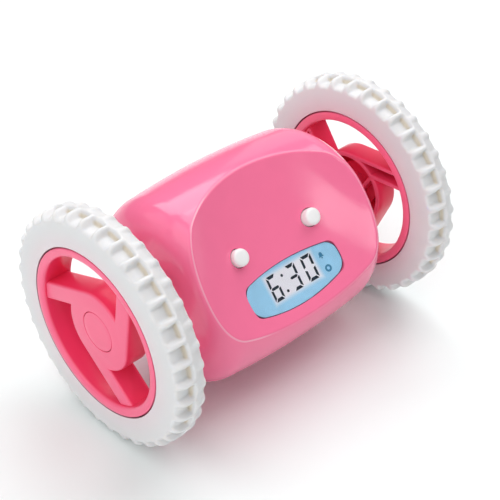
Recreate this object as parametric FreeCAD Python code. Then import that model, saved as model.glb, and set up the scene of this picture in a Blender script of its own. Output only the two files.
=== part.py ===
import FreeCAD, Part
import math
import os

# Runaway alarm clock: a barrel-shaped body hung between two driven wheels.
# Millimetres. Origin on the floor under the middle of the clock, +X along the axle, -Y the front, +Z up.
# "Left" and "right" are the sides seen by someone who looks at the display: left is -X.

Vector = FreeCAD.Vector

# ---- body ----
BODY_R = 37.1
BODY_HALF_LENGTH = 45.4
BODY_DROP = 1.3
CROWN_R = 324.0
CORNER_R = 12.2
DOME_R = 93.6
WALL = 2.0
CREASE_FILLET = 1.6
SEAM_TURN = 20.0
FACE_TILT = 40.0
LIP_HEIGHT = 1.4
LIP_CLEARANCE = 0.1
NECK_R = 7.0
NECK_END_R = 6.2
NECK_LENGTH = 4.6
NECK_END = BODY_HALF_LENGTH + NECK_LENGTH

# ---- tyres ----
TYRE_TIP_R = 44.5
TREAD_DEPTH = 2.3
TREAD_SHOULDER = 3.2
TYRE_POCKET_R = TYRE_TIP_R - TREAD_DEPTH
TYRE_SHOULDER_R = TYRE_TIP_R - TREAD_SHOULDER
WHEEL_GAP = 9.8
TYRE_WIDTH = 12.8
TYRE_INNER_FACE = BODY_HALF_LENGTH + WHEEL_GAP
TYRE_OUTER_FACE = TYRE_INNER_FACE + TYRE_WIDTH
TREAD_EDGE = 1.2
TREAD_RIB_WIDTH = 1.8
TREAD_RIB_DROP = 0.5
LUGS = 36
LUG_WIDTH = 1.9
LUG_ROOT_WIDTH = 2.7
AXLE_Z = TYRE_TIP_R

# ---- wheel hubs ----
RIM_R = 32.0
RIM_WALL = 3.7
RIM_KEY_HEIGHT = 1.2
RIM_KEY_WIDTH = 4.0
HUB_RECESS = 1.6
HUB_FACE = TYRE_OUTER_FACE - HUB_RECESS
HUB_DEPTH = 9.4
HUB_BACK = HUB_FACE - HUB_DEPTH
HUB_PLATE = 1.6
HUB_DISC_R = 15.0
HUB_WALL = 1.4
HUB_RING_WALL = 1.8
ARM_COUNT = 3
ARM_WIDTH = 6.8
ARM_ANGLE_LEFT = 81.4
ARM_ANGLE_RIGHT = 54.0
HUB_RIB_OFFSET = 2.6
HUB_RIB_TURN = 51.0
HUB_CUP_R = 9.0
HUB_CUP_DEPTH = 2.9
HUB_CUP_FLOOR = HUB_FACE - HUB_CUP_DEPTH
HUB_CUP_FLOOR_THICKNESS = 1.5
HUB_BOSS_R = 4.6
HUB_BOSS_GAP = 0.5
CAP_R = 7.5
CAP_CLEARANCE = 0.05
CAP_THICKNESS = 1.2
CAP_SKIRT_WALL = 1.2
AXLE_END = HUB_CUP_FLOOR - HUB_CUP_FLOOR_THICKNESS
HUB_SCREW_R = 1.0
HUB_SCREW_HEAD_R = 2.2
HUB_SCREW_HEAD = 1.3
HUB_SCREW_REACH = 6.0

# ---- axle bushes ----
BUSH_R = 4.0
BUSH_FLANGE_R = 5.2
BUSH_FLANGE = 0.9
BUSH_LENGTH = 9.0
BUSH_START = NECK_END - BUSH_LENGTH
HUB_BOSS_END = NECK_END + BUSH_FLANGE + HUB_BOSS_GAP

# ---- dish in the face: depth above the axle along the face normal ----
DISH_DEPTH = 20.5
DISH_CURVE_ACROSS = 0.00569
DISH_CURVE_UP = 0.00281
DISH_TWIST = 0.00009
DISH_HALF_WIDTH = 54.0
DISH_HALF_HEIGHT = 48.0
DISH_TOOL_HEIGHT = 45.0
DISH_GRID = 9

# ---- display window, in face coordinates ----
WINDOW_HALF_WIDTH = 22.0
WINDOW_TOP = -8.1
WINDOW_TOP_CORNER = -10.2
WINDOW_BOTTOM = -24.9
WINDOW_BOTTOM_CORNER = -21.4
WINDOW_SIDE_BOW = 0.9
WINDOW_CORNER_R = 3.2
WINDOW_LEDGE = 1.0
WINDOW_RECESS = 1.3
LENS_SINK = 0.3
LENS_CLEARANCE = 0.1

# ---- buttons ----
BUTTON_X = 17.4
BUTTON_V = 0.4
BUTTON_R = 3.2
BUTTON_HEIGHT = 4.8
BUTTON_TOP = DISH_DEPTH + BUTTON_HEIGHT
BUTTON_EDGE = 0.5
BUTTON_CLEARANCE = 0.3
BUTTON_LEDGE = 1.1
BUTTON_FLANGE_R = BUTTON_R + BUTTON_LEDGE
BUTTON_SEAT = 0.5
BUTTON_FLANGE_TOP = DISH_DEPTH - WALL + BUTTON_SEAT
BUTTON_FLANGE = 1.0
BUTTON_STEM_R = 1.5
BUTTON_TRAVEL = 0.8
BUTTON_STEM = 0.5
BUTTON_STEM_END = BUTTON_FLANGE_TOP - BUTTON_FLANGE - BUTTON_STEM
SWITCH_GAP = 0.1

# ---- circuit board and display stack ----
GLASS_GAP = 0.3
GLASS_FRONT = DISH_DEPTH - WALL - GLASS_GAP
GLASS_THICKNESS = 2.2
GLASS_HALF_WIDTH = 23.0
GLASS_BOTTOM = -25.8
GLASS_TOP = -7.2
BACKLIGHT_THICKNESS = 3.0
CONNECTOR_WIDTH = 2.0
BOARD_SPACE = 1.0
BOARD_FRONT = GLASS_FRONT - GLASS_THICKNESS - BACKLIGHT_THICKNESS - BOARD_SPACE
BOARD_THICKNESS = 1.6
BOARD_HALF_WIDTH = 27.0
BOARD_BOTTOM = -29.0
BOARD_TOP = 10.5
BOARD_CORNER_R = 2.5
SWITCH_SIDE = 6.0
SWITCH_BODY = 3.5
SWITCH_PLUNGER_R = 1.7
FRAME_WALL = 1.5
FRAME_CLEARANCE = 0.2
CHIP_R = 5.0
CHIP_HEIGHT = 1.6
CHIP_V = -14.0
CRYSTAL_R = 1.0
CRYSTAL_LENGTH = 6.0
CRYSTAL_V = -4.0
BOARD_POST_X = 24.0
BOARD_POST_V = 7.5
BOARD_POST_R = 2.4
BOARD_SCREW_R = 0.9
BOARD_SCREW_HEAD_R = 1.9
BOARD_SCREW_HEAD = 1.2
BOARD_SCREW_REACH = 5.0

# ---- drive train, built on the right and mirrored for the left ----
GEAR_MODULE = 0.5
WHEEL_TEETH = 36
PINION_TEETH = 10
PRESSURE_ANGLE = 20.0
WHEEL_ADDENDUM = 0.30
PINION_ADDENDUM = 0.45
TIP_CLEARANCE = 0.16
BACKLASH = 0.10
GEARBOX_INSET = 16.8
GEARBOX_DEPTH = 8.8
PLATE_INNER = BODY_HALF_LENGTH - GEARBOX_INSET
PLATE_OUTER = PLATE_INNER + GEARBOX_DEPTH
MOTOR_Y = -13.0
MOTOR_Z = -13.0
MOTOR_R = 10.05
MOTOR_FLAT = 7.6
MOTOR_LENGTH = 23.0
MOTOR_BACK = PLATE_INNER - MOTOR_LENGTH
MOTOR_CAP = 2.0
MOTOR_CAN_WALL = 1.0
MOTOR_CAP_GAP = 3.4
MAGNET_OUTER_R = 8.8
MAGNET_INNER_R = 6.9
MAGNET_LENGTH = 13.0
MAGNET_SPREAD = 8.0
ROTOR_R = 6.4
ROTOR_LENGTH = 10.0
ROTOR_SLOTS = 3
ROTOR_SLOT = 1.6
ROTOR_CORE_R = 2.6
MOTOR_NOSE_R = 3.0
MOTOR_SHAFT_R = 1.0
MOTOR_SCREW_PITCH = 5.6
PLATE_THICKNESS = 1.4
PLATE_GAP = 0.25
PLATE_V_MIN = -26.0
PLATE_V_MAX = 14.0
PINION_GAP = 0.6
PINION_WIDTH = 3.0
PINION_START = PLATE_INNER + PLATE_THICKNESS + PINION_GAP
PINION_END = PINION_START + PINION_WIDTH
MOTOR_SHAFT_END = PINION_END + PINION_GAP
IDLER_WHEEL_INSET = 0.4
IDLER_WHEEL_START = PINION_START + IDLER_WHEEL_INSET
IDLER_WHEEL_WIDTH = 2.0
IDLER_GAP = 0.5
IDLER_END = PLATE_OUTER - IDLER_GAP
OUTPUT_GAP = 1.0
OUTPUT_WIDTH = 2.6
OUTPUT_START = IDLER_WHEEL_START + IDLER_WHEEL_WIDTH + OUTPUT_GAP
OUTPUT_END = OUTPUT_START + OUTPUT_WIDTH
OUTPUT_BOSS_R = 3.6
END_PLAY = 0.2
AXLE_R = 1.5
AXLE_TAIL = 1.0
AXLE_START = PLATE_INNER - AXLE_TAIL
PIN_R = 1.0
SHAFT_CLEARANCE = 0.05
POSTS = [(-6.5, 11.5), (-1.0, -13.4), (12.2, 2.5)]
POST_R = 1.9
PLATE_SCREW_R = 0.8
PLATE_SCREW_HEAD_R = 1.6
PLATE_SCREW_HEAD = 1.0
PLATE_SCREW_REACH = 5.0
PLATE_PAD_R = 4.6
RIB_THICKNESS = 1.2
RIB_HEIGHT = 2.4
RIB_CLEARANCE = 0.1
RIB_HALF_HEIGHT = 9.0

# ---- batteries and their door ----
CELL_R = 5.25
CELL_LENGTH = 44.5
CELL_NUB_R = 1.9
CELL_NUB = 1.0
CELL_COUNT = 4
CELL_GAP = 1.85
CELL_SPACE = 0.5
CELL_RING_R = BODY_R - WALL - CELL_GAP - CELL_R
CELL_PITCH = 2 * math.degrees(math.asin((CELL_R + CELL_SPACE / 2) / CELL_RING_R))
PACK_ANGLE = -133.0
CONTACT_THICKNESS = 0.4
CONTACT_WIDTH = 6.0
CONTACT_REACH = 2.0
CONTACT_GAP = 0.15
TRAY_WALL = 1.2
TRAY_GAP = 0.3
TRAY_END = CELL_LENGTH / 2 + CONTACT_GAP + CONTACT_REACH + CONTACT_THICKNESS
TRAY_SIDE = math.degrees(math.asin((CELL_R + TRAY_GAP) / CELL_RING_R))
TRAY_HALF_ANGLE = CELL_PITCH * (CELL_COUNT - 1) / 2 + TRAY_SIDE
DOOR_HALF_WIDTH = 22.0
DOOR_HALF_LENGTH = 24.0
DOOR_CLEARANCE = 0.3
DOOR_GRIP_R = 2.2
DOOR_GRIP_COUNT = 3
DOOR_GRIP_PITCH = 3.2
DOOR_GRIP_DEPTH = 0.7

# ---- loudspeaker ----
SPEAKER_TURN = 27.8
SPEAKER_ANGLE = 360 + PACK_ANGLE - TRAY_HALF_ANGLE - SPEAKER_TURN
SPEAKER_R = 11.0
SPEAKER_GAP = 0.4
SPEAKER_FACE = math.sqrt((BODY_R - WALL) ** 2 - SPEAKER_R ** 2) - SPEAKER_GAP
SPEAKER_DEPTH = 4.5
SPEAKER_MAGNET_R = 6.0
SPEAKER_SKIN = 0.8
SPEAKER_RIM = 1.2
SPEAKER_MAGNET = 1.8
SPEAKER_RING_WALL = 1.4
GRILLE_HOLE_R = 0.8
GRILLE_PITCH = 3.0
GRILLE_RINGS = 2

# ---- screws that hold the shells ----
SHELL_SCREW_V = [26.0, -27.0]
COLUMN_R = 3.2
COLUMN_GAP = 0.3
SHELL_SCREW_X = PLATE_INNER + PLATE_THICKNESS + COLUMN_R + COLUMN_GAP
COUNTERBORE_R = 2.3
COUNTERBORE_FLOOR = -6.0
SHELL_SCREW_HEAD_R = 2.1
SHELL_SCREW_HEAD = 1.5
SHELL_SCREW_R = 1.2
SHELL_SCREW_REACH = 12.0

MARGIN = 1.0
REACH = 60.0


# ---- helpers ----
def cylinder_x(radius, x0, x1, y=0.0, z=0.0):
    """A cylinder along X; y and z are measured from the axle."""
    return Part.makeCylinder(radius, x1 - x0, Vector(x0, y, AXLE_Z + z), Vector(1, 0, 0))


def tube_x(outer, inner, x0, x1, y=0.0, z=0.0):
    return cylinder_x(outer, x0, x1, y, z).cut(cylinder_x(inner, x0 - MARGIN, x1 + MARGIN, y, z))


def on_face(shape):
    """Moves a shape from face coordinates (x across, y up the face, z out of it) into the clock."""
    shape.rotate(Vector(0, 0, 0), Vector(1, 0, 0), 90 - FACE_TILT)
    shape.translate(Vector(0, 0, AXLE_Z))
    return shape


def face_box(x0, x1, v0, v1, w0, w1):
    return on_face(Part.makeBox(x1 - x0, v1 - v0, w1 - w0, Vector(x0, v0, w0)))


def face_pin(radius, x, v, w0, w1):
    return on_face(Part.makeCylinder(radius, w1 - w0, Vector(x, v, w0)))


def mirrored(shape):
    return shape.mirror(Vector(0, 0, 0), Vector(1, 0, 0))


def fused(shapes):
    shapes = list(shapes)
    return shapes[0].multiFuse(shapes[1:]).removeSplitter()


def prism(wire, height):
    return Part.Face(wire).extrude(Vector(0, 0, height))


def revolved(face, axis):
    """One whole turn of a face about an axis through the origin, as a solid."""
    turned = face.revolve(Vector(0, 0, 0), axis, 360)
    return turned.Solids[0] if turned.Solids else Part.Solid(turned.Shells[0])


def arc(start, middle, end):
    return Part.Arc(start, middle, end).toShape()


def line(start, end):
    return Part.LineSegment(start, end).toShape()


# ---- body surface ----
def corner_centre():
    """Centre of the corner arc that touches the crown arc and the dome arc from inside."""
    crown = Vector(0, 0, BODY_R - CROWN_R)
    dome = Vector(BODY_HALF_LENGTH - DOME_R, 0, 0)
    to_crown = CROWN_R - CORNER_R
    to_dome = DOME_R - CORNER_R
    between = dome - crown
    apart = between.Length
    along = (to_crown ** 2 - to_dome ** 2 + apart ** 2) / (2 * apart)
    aside = math.sqrt(to_crown ** 2 - along ** 2)
    unit = between / apart
    normal = Vector(-unit.z, 0, unit.x)
    found = [crown + unit * along + normal * aside * sign for sign in (1, -1)]
    return crown, dome, max(found, key=lambda point: point.x)


def barrel(inset):
    """The body of revolution, with its surface moved inwards by inset."""
    crown, dome, corner = corner_centre()

    def away(centre, radius, towards):
        direction = towards - centre
        return centre + direction / direction.Length * radius

    top = crown + Vector(0, 0, CROWN_R - inset)
    crown_end = away(crown, CROWN_R - inset, corner)
    dome_start = away(dome, DOME_R - inset, corner)
    half_angle = (crown_end - corner) + (dome_start - corner)
    corner_middle = corner + half_angle / half_angle.Length * (CORNER_R - inset)
    tip = dome + Vector(DOME_R - inset, 0, 0)
    dome_middle = away(dome, DOME_R - inset, (tip + dome_start) / 2)
    right = [arc(crown_end, corner_middle, dome_start), arc(dome_start, dome_middle, tip)]
    left = [mirrored(edge) for edge in right]
    crown_arc = arc(Vector(-crown_end.x, 0, crown_end.z), top, crown_end)
    base = line(tip, Vector(-tip.x, 0, 0))
    wire = Part.Wire(Part.__sortEdges__(right + left + [crown_arc, base]))
    solid = revolved(Part.Face(wire), Vector(1, 0, 0))
    solid.rotate(Vector(0, 0, 0), Vector(1, 0, 0), -SEAM_TURN)
    solid.translate(Vector(0, 0, AXLE_Z - BODY_DROP))
    return solid


def dish_height(x, v):
    across = DISH_CURVE_ACROSS * x * x
    up = DISH_CURVE_UP * v * v
    return DISH_DEPTH + across + up + DISH_TWIST * x * x * v


def above_dish(inset):
    """Everything above the dish surface, which is lowered by inset."""
    rows = []
    for i in range(DISH_GRID):
        x = DISH_HALF_WIDTH * (2 * i / (DISH_GRID - 1) - 1)
        heights = []
        for j in range(DISH_GRID):
            v = DISH_HALF_HEIGHT * (2 * j / (DISH_GRID - 1) - 1)
            heights.append(Vector(x, v, dish_height(x, v) - inset))
        rows.append(heights)
    surface = Part.BSplineSurface()
    surface.interpolate(rows)
    return on_face(surface.toShape().extrude(Vector(0, 0, DISH_TOOL_HEIGHT)))


def inside(inset):
    """The space inside the body, a wall of inset away from its outer surface."""
    return barrel(inset).cut(above_dish(inset))


def body_outside():
    solid = barrel(0).cut(above_dish(0))
    rim = [face for face in solid.Faces if "BSpline" in face.Surface.TypeId]
    solid = solid.makeFillet(CREASE_FILLET, rim[0].Edges)
    start = Vector(BUSH_START, 0, AXLE_Z)
    neck = Part.makeCone(NECK_R, NECK_END_R, NECK_END - BUSH_START, start, Vector(1, 0, 0))
    return fused([solid, neck, mirrored(neck)])


# ---- display window ----
def window_prism(grow, w0, w1):
    """The window's outline, grown by grow, as a prism along the face normal."""
    half = WINDOW_HALF_WIDTH + grow
    corner_x = half - WINDOW_SIDE_BOW
    top = WINDOW_TOP + grow
    bottom = WINDOW_BOTTOM - grow
    top_corner = WINDOW_TOP_CORNER + grow
    bottom_corner = WINDOW_BOTTOM_CORNER - grow
    middle = (top_corner + bottom_corner) / 2
    corners = [
        Vector(-corner_x, top_corner, w0),
        Vector(corner_x, top_corner, w0),
        Vector(corner_x, bottom_corner, w0),
        Vector(-corner_x, bottom_corner, w0),
    ]
    bows = [Vector(0, top, w0), Vector(half, middle, w0), Vector(0, bottom, w0), Vector(-half, middle, w0)]
    edges = [arc(corners[i], bows[i], corners[(i + 1) % 4]) for i in range(4)]
    solid = prism(Part.Wire(edges), w1 - w0)
    upright = [edge for edge in solid.Edges if abs(edge.Vertexes[0].Z - edge.Vertexes[-1].Z) > MARGIN]
    return on_face(solid.makeFillet(WINDOW_CORNER_R + grow, upright))


def lcd_lens():
    outline = window_prism(-LENS_CLEARANCE, 0, REACH)
    layer = above_dish(WINDOW_RECESS).cut(above_dish(LENS_SINK))
    return outline.common(layer)


# ---- shells ----
def slot_ribs():
    """Pairs of ribs inside the shells that hold the edges of both gearbox plates."""
    band = inside(WALL - LIP_CLEARANCE).cut(inside(WALL + RIB_HEIGHT))
    first = PLATE_INNER - RIB_CLEARANCE - RIB_THICKNESS
    second = PLATE_INNER + PLATE_THICKNESS + RIB_CLEARANCE
    ribs = []
    for start in (first, second):
        slab = face_box(start, start + RIB_THICKNESS, -RIB_HALF_HEIGHT, RIB_HALF_HEIGHT, -REACH, REACH)
        rib = band.common(slab)
        ribs += [rib, mirrored(rib)]
    return ribs


def columns():
    """Hollow columns for the shell screws, running through the whole body."""
    space = inside(WALL - LIP_CLEARANCE)
    found = []
    for v in SHELL_SCREW_V:
        for x in (-SHELL_SCREW_X, SHELL_SCREW_X):
            found.append(face_pin(COLUMN_R, x, v, -REACH, REACH).common(space))
    return found


def board_posts():
    space = inside(WALL - LIP_CLEARANCE)
    posts = []
    for x in (-BOARD_POST_X, BOARD_POST_X):
        posts.append(face_pin(BOARD_POST_R, x, BOARD_POST_V, BOARD_FRONT, REACH).common(space))
    return posts


def radial(shape, angle):
    """Turns a shape made along +Z at the body's axis to stand out at an angle from the front."""
    shape.rotate(Vector(0, 0, 0), Vector(1, 0, 0), 90 - angle)
    shape.translate(Vector(0, 0, AXLE_Z - BODY_DROP))
    return shape


def speaker_ring():
    outer = SPEAKER_R + DOOR_CLEARANCE + SPEAKER_RING_WALL
    ring = Part.makeCylinder(outer, REACH, Vector(0, 0, SPEAKER_FACE - SPEAKER_DEPTH + MARGIN))
    hole = Part.makeCylinder(SPEAKER_R + DOOR_CLEARANCE, REACH, Vector(0, 0, 0))
    ring = radial(ring.cut(hole), SPEAKER_ANGLE).common(inside(WALL - LIP_CLEARANCE))
    return ring.cut(face_box(-REACH, REACH, -REACH, REACH, 0, REACH))


def grille_holes():
    holes = []
    for ring in range(GRILLE_RINGS + 1):
        count = max(1, 6 * ring)
        for k in range(count):
            turn = 2 * math.pi * k / count
            spot = Vector(ring * GRILLE_PITCH * math.cos(turn), ring * GRILLE_PITCH * math.sin(turn), 0)
            holes.append(radial(Part.makeCylinder(GRILLE_HOLE_R, REACH, spot), SPEAKER_ANGLE))
    return Part.makeCompound(holes)


def door_block(grow, inner, outer):
    """A block along the door's own direction that cuts the door out of the shell."""
    width = DOOR_HALF_WIDTH + grow
    length = DOOR_HALF_LENGTH + grow
    corner = Vector(-length, -width, inner)
    return radial(Part.makeBox(2 * length, 2 * width, outer - inner, corner), PACK_ANGLE)


def lip(clearance):
    """The tongue of the rear shell that locates the front one, grown by clearance."""
    band = inside(WALL / 2 - clearance).cut(inside(WALL + clearance))
    return band.common(face_box(-REACH, REACH, -REACH, REACH, -MARGIN, LIP_HEIGHT + clearance))


def shells():
    bore = cylinder_x(BUSH_R, BUSH_START - MARGIN, NECK_END + MARGIN)
    bores = Part.makeCompound([bore, mirrored(bore)])
    skin = fused([body_outside().cut(inside(WALL))] + slot_ribs() + columns()).cut(bores)
    front = skin.common(face_box(-REACH, REACH, -REACH, REACH, 0, REACH))
    rear = skin.common(face_box(-REACH, REACH, -REACH, REACH, -REACH, 0))

    front = fused([front] + board_posts())
    front = front.cut(lip(LIP_CLEARANCE))
    front = front.cut(window_prism(-WINDOW_LEDGE, 0, REACH))
    front = front.cut(window_prism(0, 0, REACH).common(above_dish(WINDOW_RECESS)))
    for x in (-BUTTON_X, BUTTON_X):
        front = front.cut(face_pin(BUTTON_R + BUTTON_CLEARANCE, x, BUTTON_V, 0, REACH))
    for x in (-BOARD_POST_X, BOARD_POST_X):
        front = front.cut(face_pin(BOARD_SCREW_R, x, BOARD_POST_V, 0, BOARD_FRONT + BOARD_SCREW_REACH))

    rear = rear.cut(grille_holes())
    rear = fused([rear, lip(0).cut(bores), speaker_ring()])
    rear = rear.cut(door_block(0, 0, REACH))
    for v in SHELL_SCREW_V:
        for x in (-SHELL_SCREW_X, SHELL_SCREW_X):
            rear = rear.cut(face_pin(COUNTERBORE_R, x, v, -REACH, COUNTERBORE_FLOOR))
            rear = rear.cut(face_pin(SHELL_SCREW_R, x, v, -REACH, MARGIN))
            front = front.cut(face_pin(SHELL_SCREW_R, x, v, -MARGIN, COUNTERBORE_FLOOR + SHELL_SCREW_REACH))
    return front, rear


def battery_door():
    ring = barrel(0).cut(barrel(WALL))
    door = ring.common(door_block(-DOOR_CLEARANCE, 0, REACH))
    for k in range(DOOR_GRIP_COUNT):
        shift = DOOR_GRIP_PITCH * (k - (DOOR_GRIP_COUNT - 1) / 2)
        depth = BODY_R + DOOR_GRIP_R - DOOR_GRIP_DEPTH
        start = Vector(-DOOR_HALF_LENGTH / 2, shift, depth)
        grip = Part.makeCylinder(DOOR_GRIP_R, DOOR_HALF_LENGTH, start, Vector(1, 0, 0))
        door = door.cut(radial(grip, PACK_ANGLE))
    return door


def shell_screws():
    screws = []
    for v in SHELL_SCREW_V:
        for x in (-SHELL_SCREW_X, SHELL_SCREW_X):
            head = face_pin(SHELL_SCREW_HEAD_R, x, v, COUNTERBORE_FLOOR - SHELL_SCREW_HEAD, COUNTERBORE_FLOOR)
            shank = face_pin(SHELL_SCREW_R, x, v, COUNTERBORE_FLOOR, COUNTERBORE_FLOOR + SHELL_SCREW_REACH)
            screws.append(head.fuse(shank))
    return Part.makeCompound(screws)


# ---- controls and electronics ----
def button(x):
    cap = face_pin(BUTTON_R, x, BUTTON_V, BUTTON_FLANGE_TOP - BUTTON_FLANGE / 2, BUTTON_TOP)
    centre = on_face(Part.Vertex(Vector(x, BUTTON_V, BUTTON_TOP))).Point
    near = [edge for edge in cap.Edges if edge.CenterOfMass.distanceToPoint(centre) < BUTTON_EDGE]
    rim = [edge for edge in near if edge.Closed]
    cap = cap.makeFillet(BUTTON_EDGE, rim)
    flange = face_pin(BUTTON_FLANGE_R, x, BUTTON_V, BUTTON_FLANGE_TOP - BUTTON_FLANGE, BUTTON_FLANGE_TOP)
    stem = face_pin(BUTTON_STEM_R, x, BUTTON_V, BUTTON_STEM_END, BUTTON_FLANGE_TOP)
    return fused([cap, flange, stem])


def tact_switch(x):
    half = SWITCH_SIDE / 2
    body_top = BOARD_FRONT + SWITCH_BODY
    body = face_box(x - half, x + half, BUTTON_V - half, BUTTON_V + half, BOARD_FRONT, body_top)
    plunger_top = BUTTON_STEM_END - BUTTON_TRAVEL - SWITCH_GAP
    return fused([body, face_pin(SWITCH_PLUNGER_R, x, BUTTON_V, body_top - MARGIN, plunger_top)])


def main_board():
    back = BOARD_FRONT - BOARD_THICKNESS
    corner = Vector(-BOARD_HALF_WIDTH, BOARD_BOTTOM, back)
    board = Part.makeBox(2 * BOARD_HALF_WIDTH, BOARD_TOP - BOARD_BOTTOM, BOARD_THICKNESS, corner)
    upright = [edge for edge in board.Edges if abs(edge.Vertexes[0].Z - edge.Vertexes[1].Z) > MARGIN]
    board = on_face(board.makeFillet(BOARD_CORNER_R, upright))
    for x in (-BOARD_POST_X, BOARD_POST_X):
        board = board.cut(face_pin(BOARD_SCREW_R, x, BOARD_POST_V, 0, REACH))
    return board


def board_screws():
    screws = []
    back = BOARD_FRONT - BOARD_THICKNESS
    for x in (-BOARD_POST_X, BOARD_POST_X):
        head = face_pin(BOARD_SCREW_HEAD_R, x, BOARD_POST_V, back - BOARD_SCREW_HEAD, back)
        shank = face_pin(BOARD_SCREW_R, x, BOARD_POST_V, back, BOARD_FRONT + BOARD_SCREW_REACH)
        screws.append(head.fuse(shank))
    return Part.makeCompound(screws)


def display_box(v0, v1, w0, w1):
    return face_box(-GLASS_HALF_WIDTH, GLASS_HALF_WIDTH, v0, v1, w0, w1)


def lcd_glass():
    return display_box(GLASS_BOTTOM, GLASS_TOP, GLASS_FRONT - GLASS_THICKNESS, GLASS_FRONT)


def backlight_panel():
    front = GLASS_FRONT - GLASS_THICKNESS
    bottom = GLASS_BOTTOM + CONNECTOR_WIDTH + FRAME_CLEARANCE
    return display_box(bottom, GLASS_TOP, front - BACKLIGHT_THICKNESS, front)


def contact_strip():
    top = GLASS_BOTTOM + CONNECTOR_WIDTH
    return display_box(GLASS_BOTTOM, top, BOARD_FRONT, GLASS_FRONT - GLASS_THICKNESS)


def display_frame():
    half = GLASS_HALF_WIDTH + FRAME_CLEARANCE
    low = GLASS_BOTTOM - FRAME_CLEARANCE
    high = GLASS_TOP + FRAME_CLEARANCE
    outer = face_box(
        -half - FRAME_WALL, half + FRAME_WALL, low - FRAME_WALL, high + FRAME_WALL, BOARD_FRONT, REACH
    )
    hollow = face_box(-half, half, low, high, 0, REACH)
    return outer.cut(hollow).common(inside(WALL + FRAME_CLEARANCE))


def controller_chip():
    back = BOARD_FRONT - BOARD_THICKNESS
    dome_r = (CHIP_R ** 2 + CHIP_HEIGHT ** 2) / (2 * CHIP_HEIGHT)
    blob = Part.makeSphere(dome_r)
    blob.translate(Vector(0, CHIP_V, back + dome_r - CHIP_HEIGHT))
    return on_face(blob).common(face_box(-CHIP_R, CHIP_R, -REACH, REACH, back - CHIP_HEIGHT, back))


def quartz_crystal():
    back = BOARD_FRONT - BOARD_THICKNESS
    start = Vector(-CRYSTAL_LENGTH / 2, CRYSTAL_V, back - CRYSTAL_R)
    return on_face(Part.makeCylinder(CRYSTAL_R, CRYSTAL_LENGTH, start, Vector(1, 0, 0)))


def loudspeaker():
    """A thin frame with its cone, and the magnet behind it."""
    back = SPEAKER_FACE - SPEAKER_DEPTH
    cone_r = SPEAKER_R - SPEAKER_RIM
    rim = Part.makeCylinder(SPEAKER_R, SPEAKER_SKIN, Vector(0, 0, SPEAKER_FACE - SPEAKER_SKIN))
    basket = Part.makeCone(SPEAKER_MAGNET_R, cone_r, SPEAKER_DEPTH, Vector(0, 0, back))
    floor = Vector(0, 0, back + SPEAKER_SKIN)
    hollow = Part.makeCone(SPEAKER_MAGNET_R - SPEAKER_SKIN, cone_r - SPEAKER_SKIN, SPEAKER_DEPTH, floor)
    magnet = Part.makeCylinder(SPEAKER_MAGNET_R, SPEAKER_MAGNET, Vector(0, 0, back - SPEAKER_MAGNET))
    return radial(fused([rim, basket, magnet]).cut(hollow), SPEAKER_ANGLE)


# ---- gears ----
def gear(teeth, addendum, mate_addendum, centre, phase, x0, x1):
    """A spur gear along X with one tooth at the angle phase, in degrees from +Y towards +Z."""
    pitch_r = GEAR_MODULE * teeth / 2
    base_r = pitch_r * math.cos(math.radians(PRESSURE_ANGLE))
    tip_r = pitch_r + addendum
    root_r = pitch_r - mate_addendum - TIP_CLEARANCE

    def involute(radius):
        """Polar angle gained by an involute from its base circle to a radius."""
        if radius <= base_r:
            return 0.0
        alpha = math.acos(base_r / radius)
        return math.tan(alpha) - alpha

    half_tooth = (math.pi * GEAR_MODULE - BACKLASH) / (4 * pitch_r) + involute(pitch_r)
    start_r = max(root_r, base_r)
    radii = sorted({root_r, start_r, (start_r + tip_r) / 2, tip_r})
    flank = [(radius, half_tooth - involute(radius)) for radius in radii]
    points = []
    for tooth in range(teeth):
        middle = math.radians(phase) + 2 * math.pi * tooth / teeth
        for radius, half in flank:
            points.append((radius, middle - half))
        for radius, half in reversed(flank):
            points.append((radius, middle + half))
    y, z = centre
    corners = [Vector(x0, y + r * math.cos(a), AXLE_Z + z + r * math.sin(a)) for r, a in points]
    return Part.Face(Part.makePolygon(corners + corners[:1])).extrude(Vector(x1 - x0, 0, 0))


def drive_layout():
    """Idler centre, behind the line from the axle to the motor, and both mesh directions in degrees."""
    reach = GEAR_MODULE * (WHEEL_TEETH + PINION_TEETH) / 2
    span = math.hypot(MOTOR_Y, MOTOR_Z)
    side = math.sqrt(reach ** 2 - (span / 2) ** 2)
    y = MOTOR_Y / 2 + side * MOTOR_Z / span
    z = MOTOR_Z / 2 - side * MOTOR_Y / span
    to_idler = math.degrees(math.atan2(z, y))
    to_motor = math.degrees(math.atan2(MOTOR_Z - z, MOTOR_Y - y))
    return (y, z), to_idler, to_motor


IDLER, TO_IDLER, TO_MOTOR = drive_layout()


def flattened(radius, x0, x1):
    """A motor section along X: a circle with two flats that face forward and back."""
    flat = MOTOR_FLAT - (MOTOR_R - radius)
    blank = cylinder_x(radius, x0, x1).common(face_box(x0, x1, -REACH, REACH, -flat, flat))
    blank.translate(Vector(0, MOTOR_Y, MOTOR_Z))
    return blank


def motor_can():
    front = PLATE_INNER
    shell = flattened(MOTOR_R, MOTOR_BACK, front)
    hollow = flattened(MOTOR_R - MOTOR_CAN_WALL, MOTOR_BACK - MARGIN, front - MOTOR_CAN_WALL)
    nose = cylinder_x(MOTOR_NOSE_R, front - MARGIN, front + PLATE_THICKNESS, MOTOR_Y, MOTOR_Z)
    hole = cylinder_x(MOTOR_SHAFT_R + SHAFT_CLEARANCE, MOTOR_BACK, REACH, MOTOR_Y, MOTOR_Z)
    return fused([shell.cut(hollow), nose]).cut(hole)


def motor_end_cap():
    cap = flattened(MOTOR_R - MOTOR_CAN_WALL, MOTOR_BACK, MOTOR_BACK + MOTOR_CAP)
    return cap.cut(cylinder_x(MOTOR_SHAFT_R + SHAFT_CLEARANCE, MOTOR_BACK + MARGIN, REACH, MOTOR_Y, MOTOR_Z))


def motor_middle():
    return (MOTOR_BACK + MOTOR_CAP_GAP + PLATE_INNER) / 2


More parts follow.
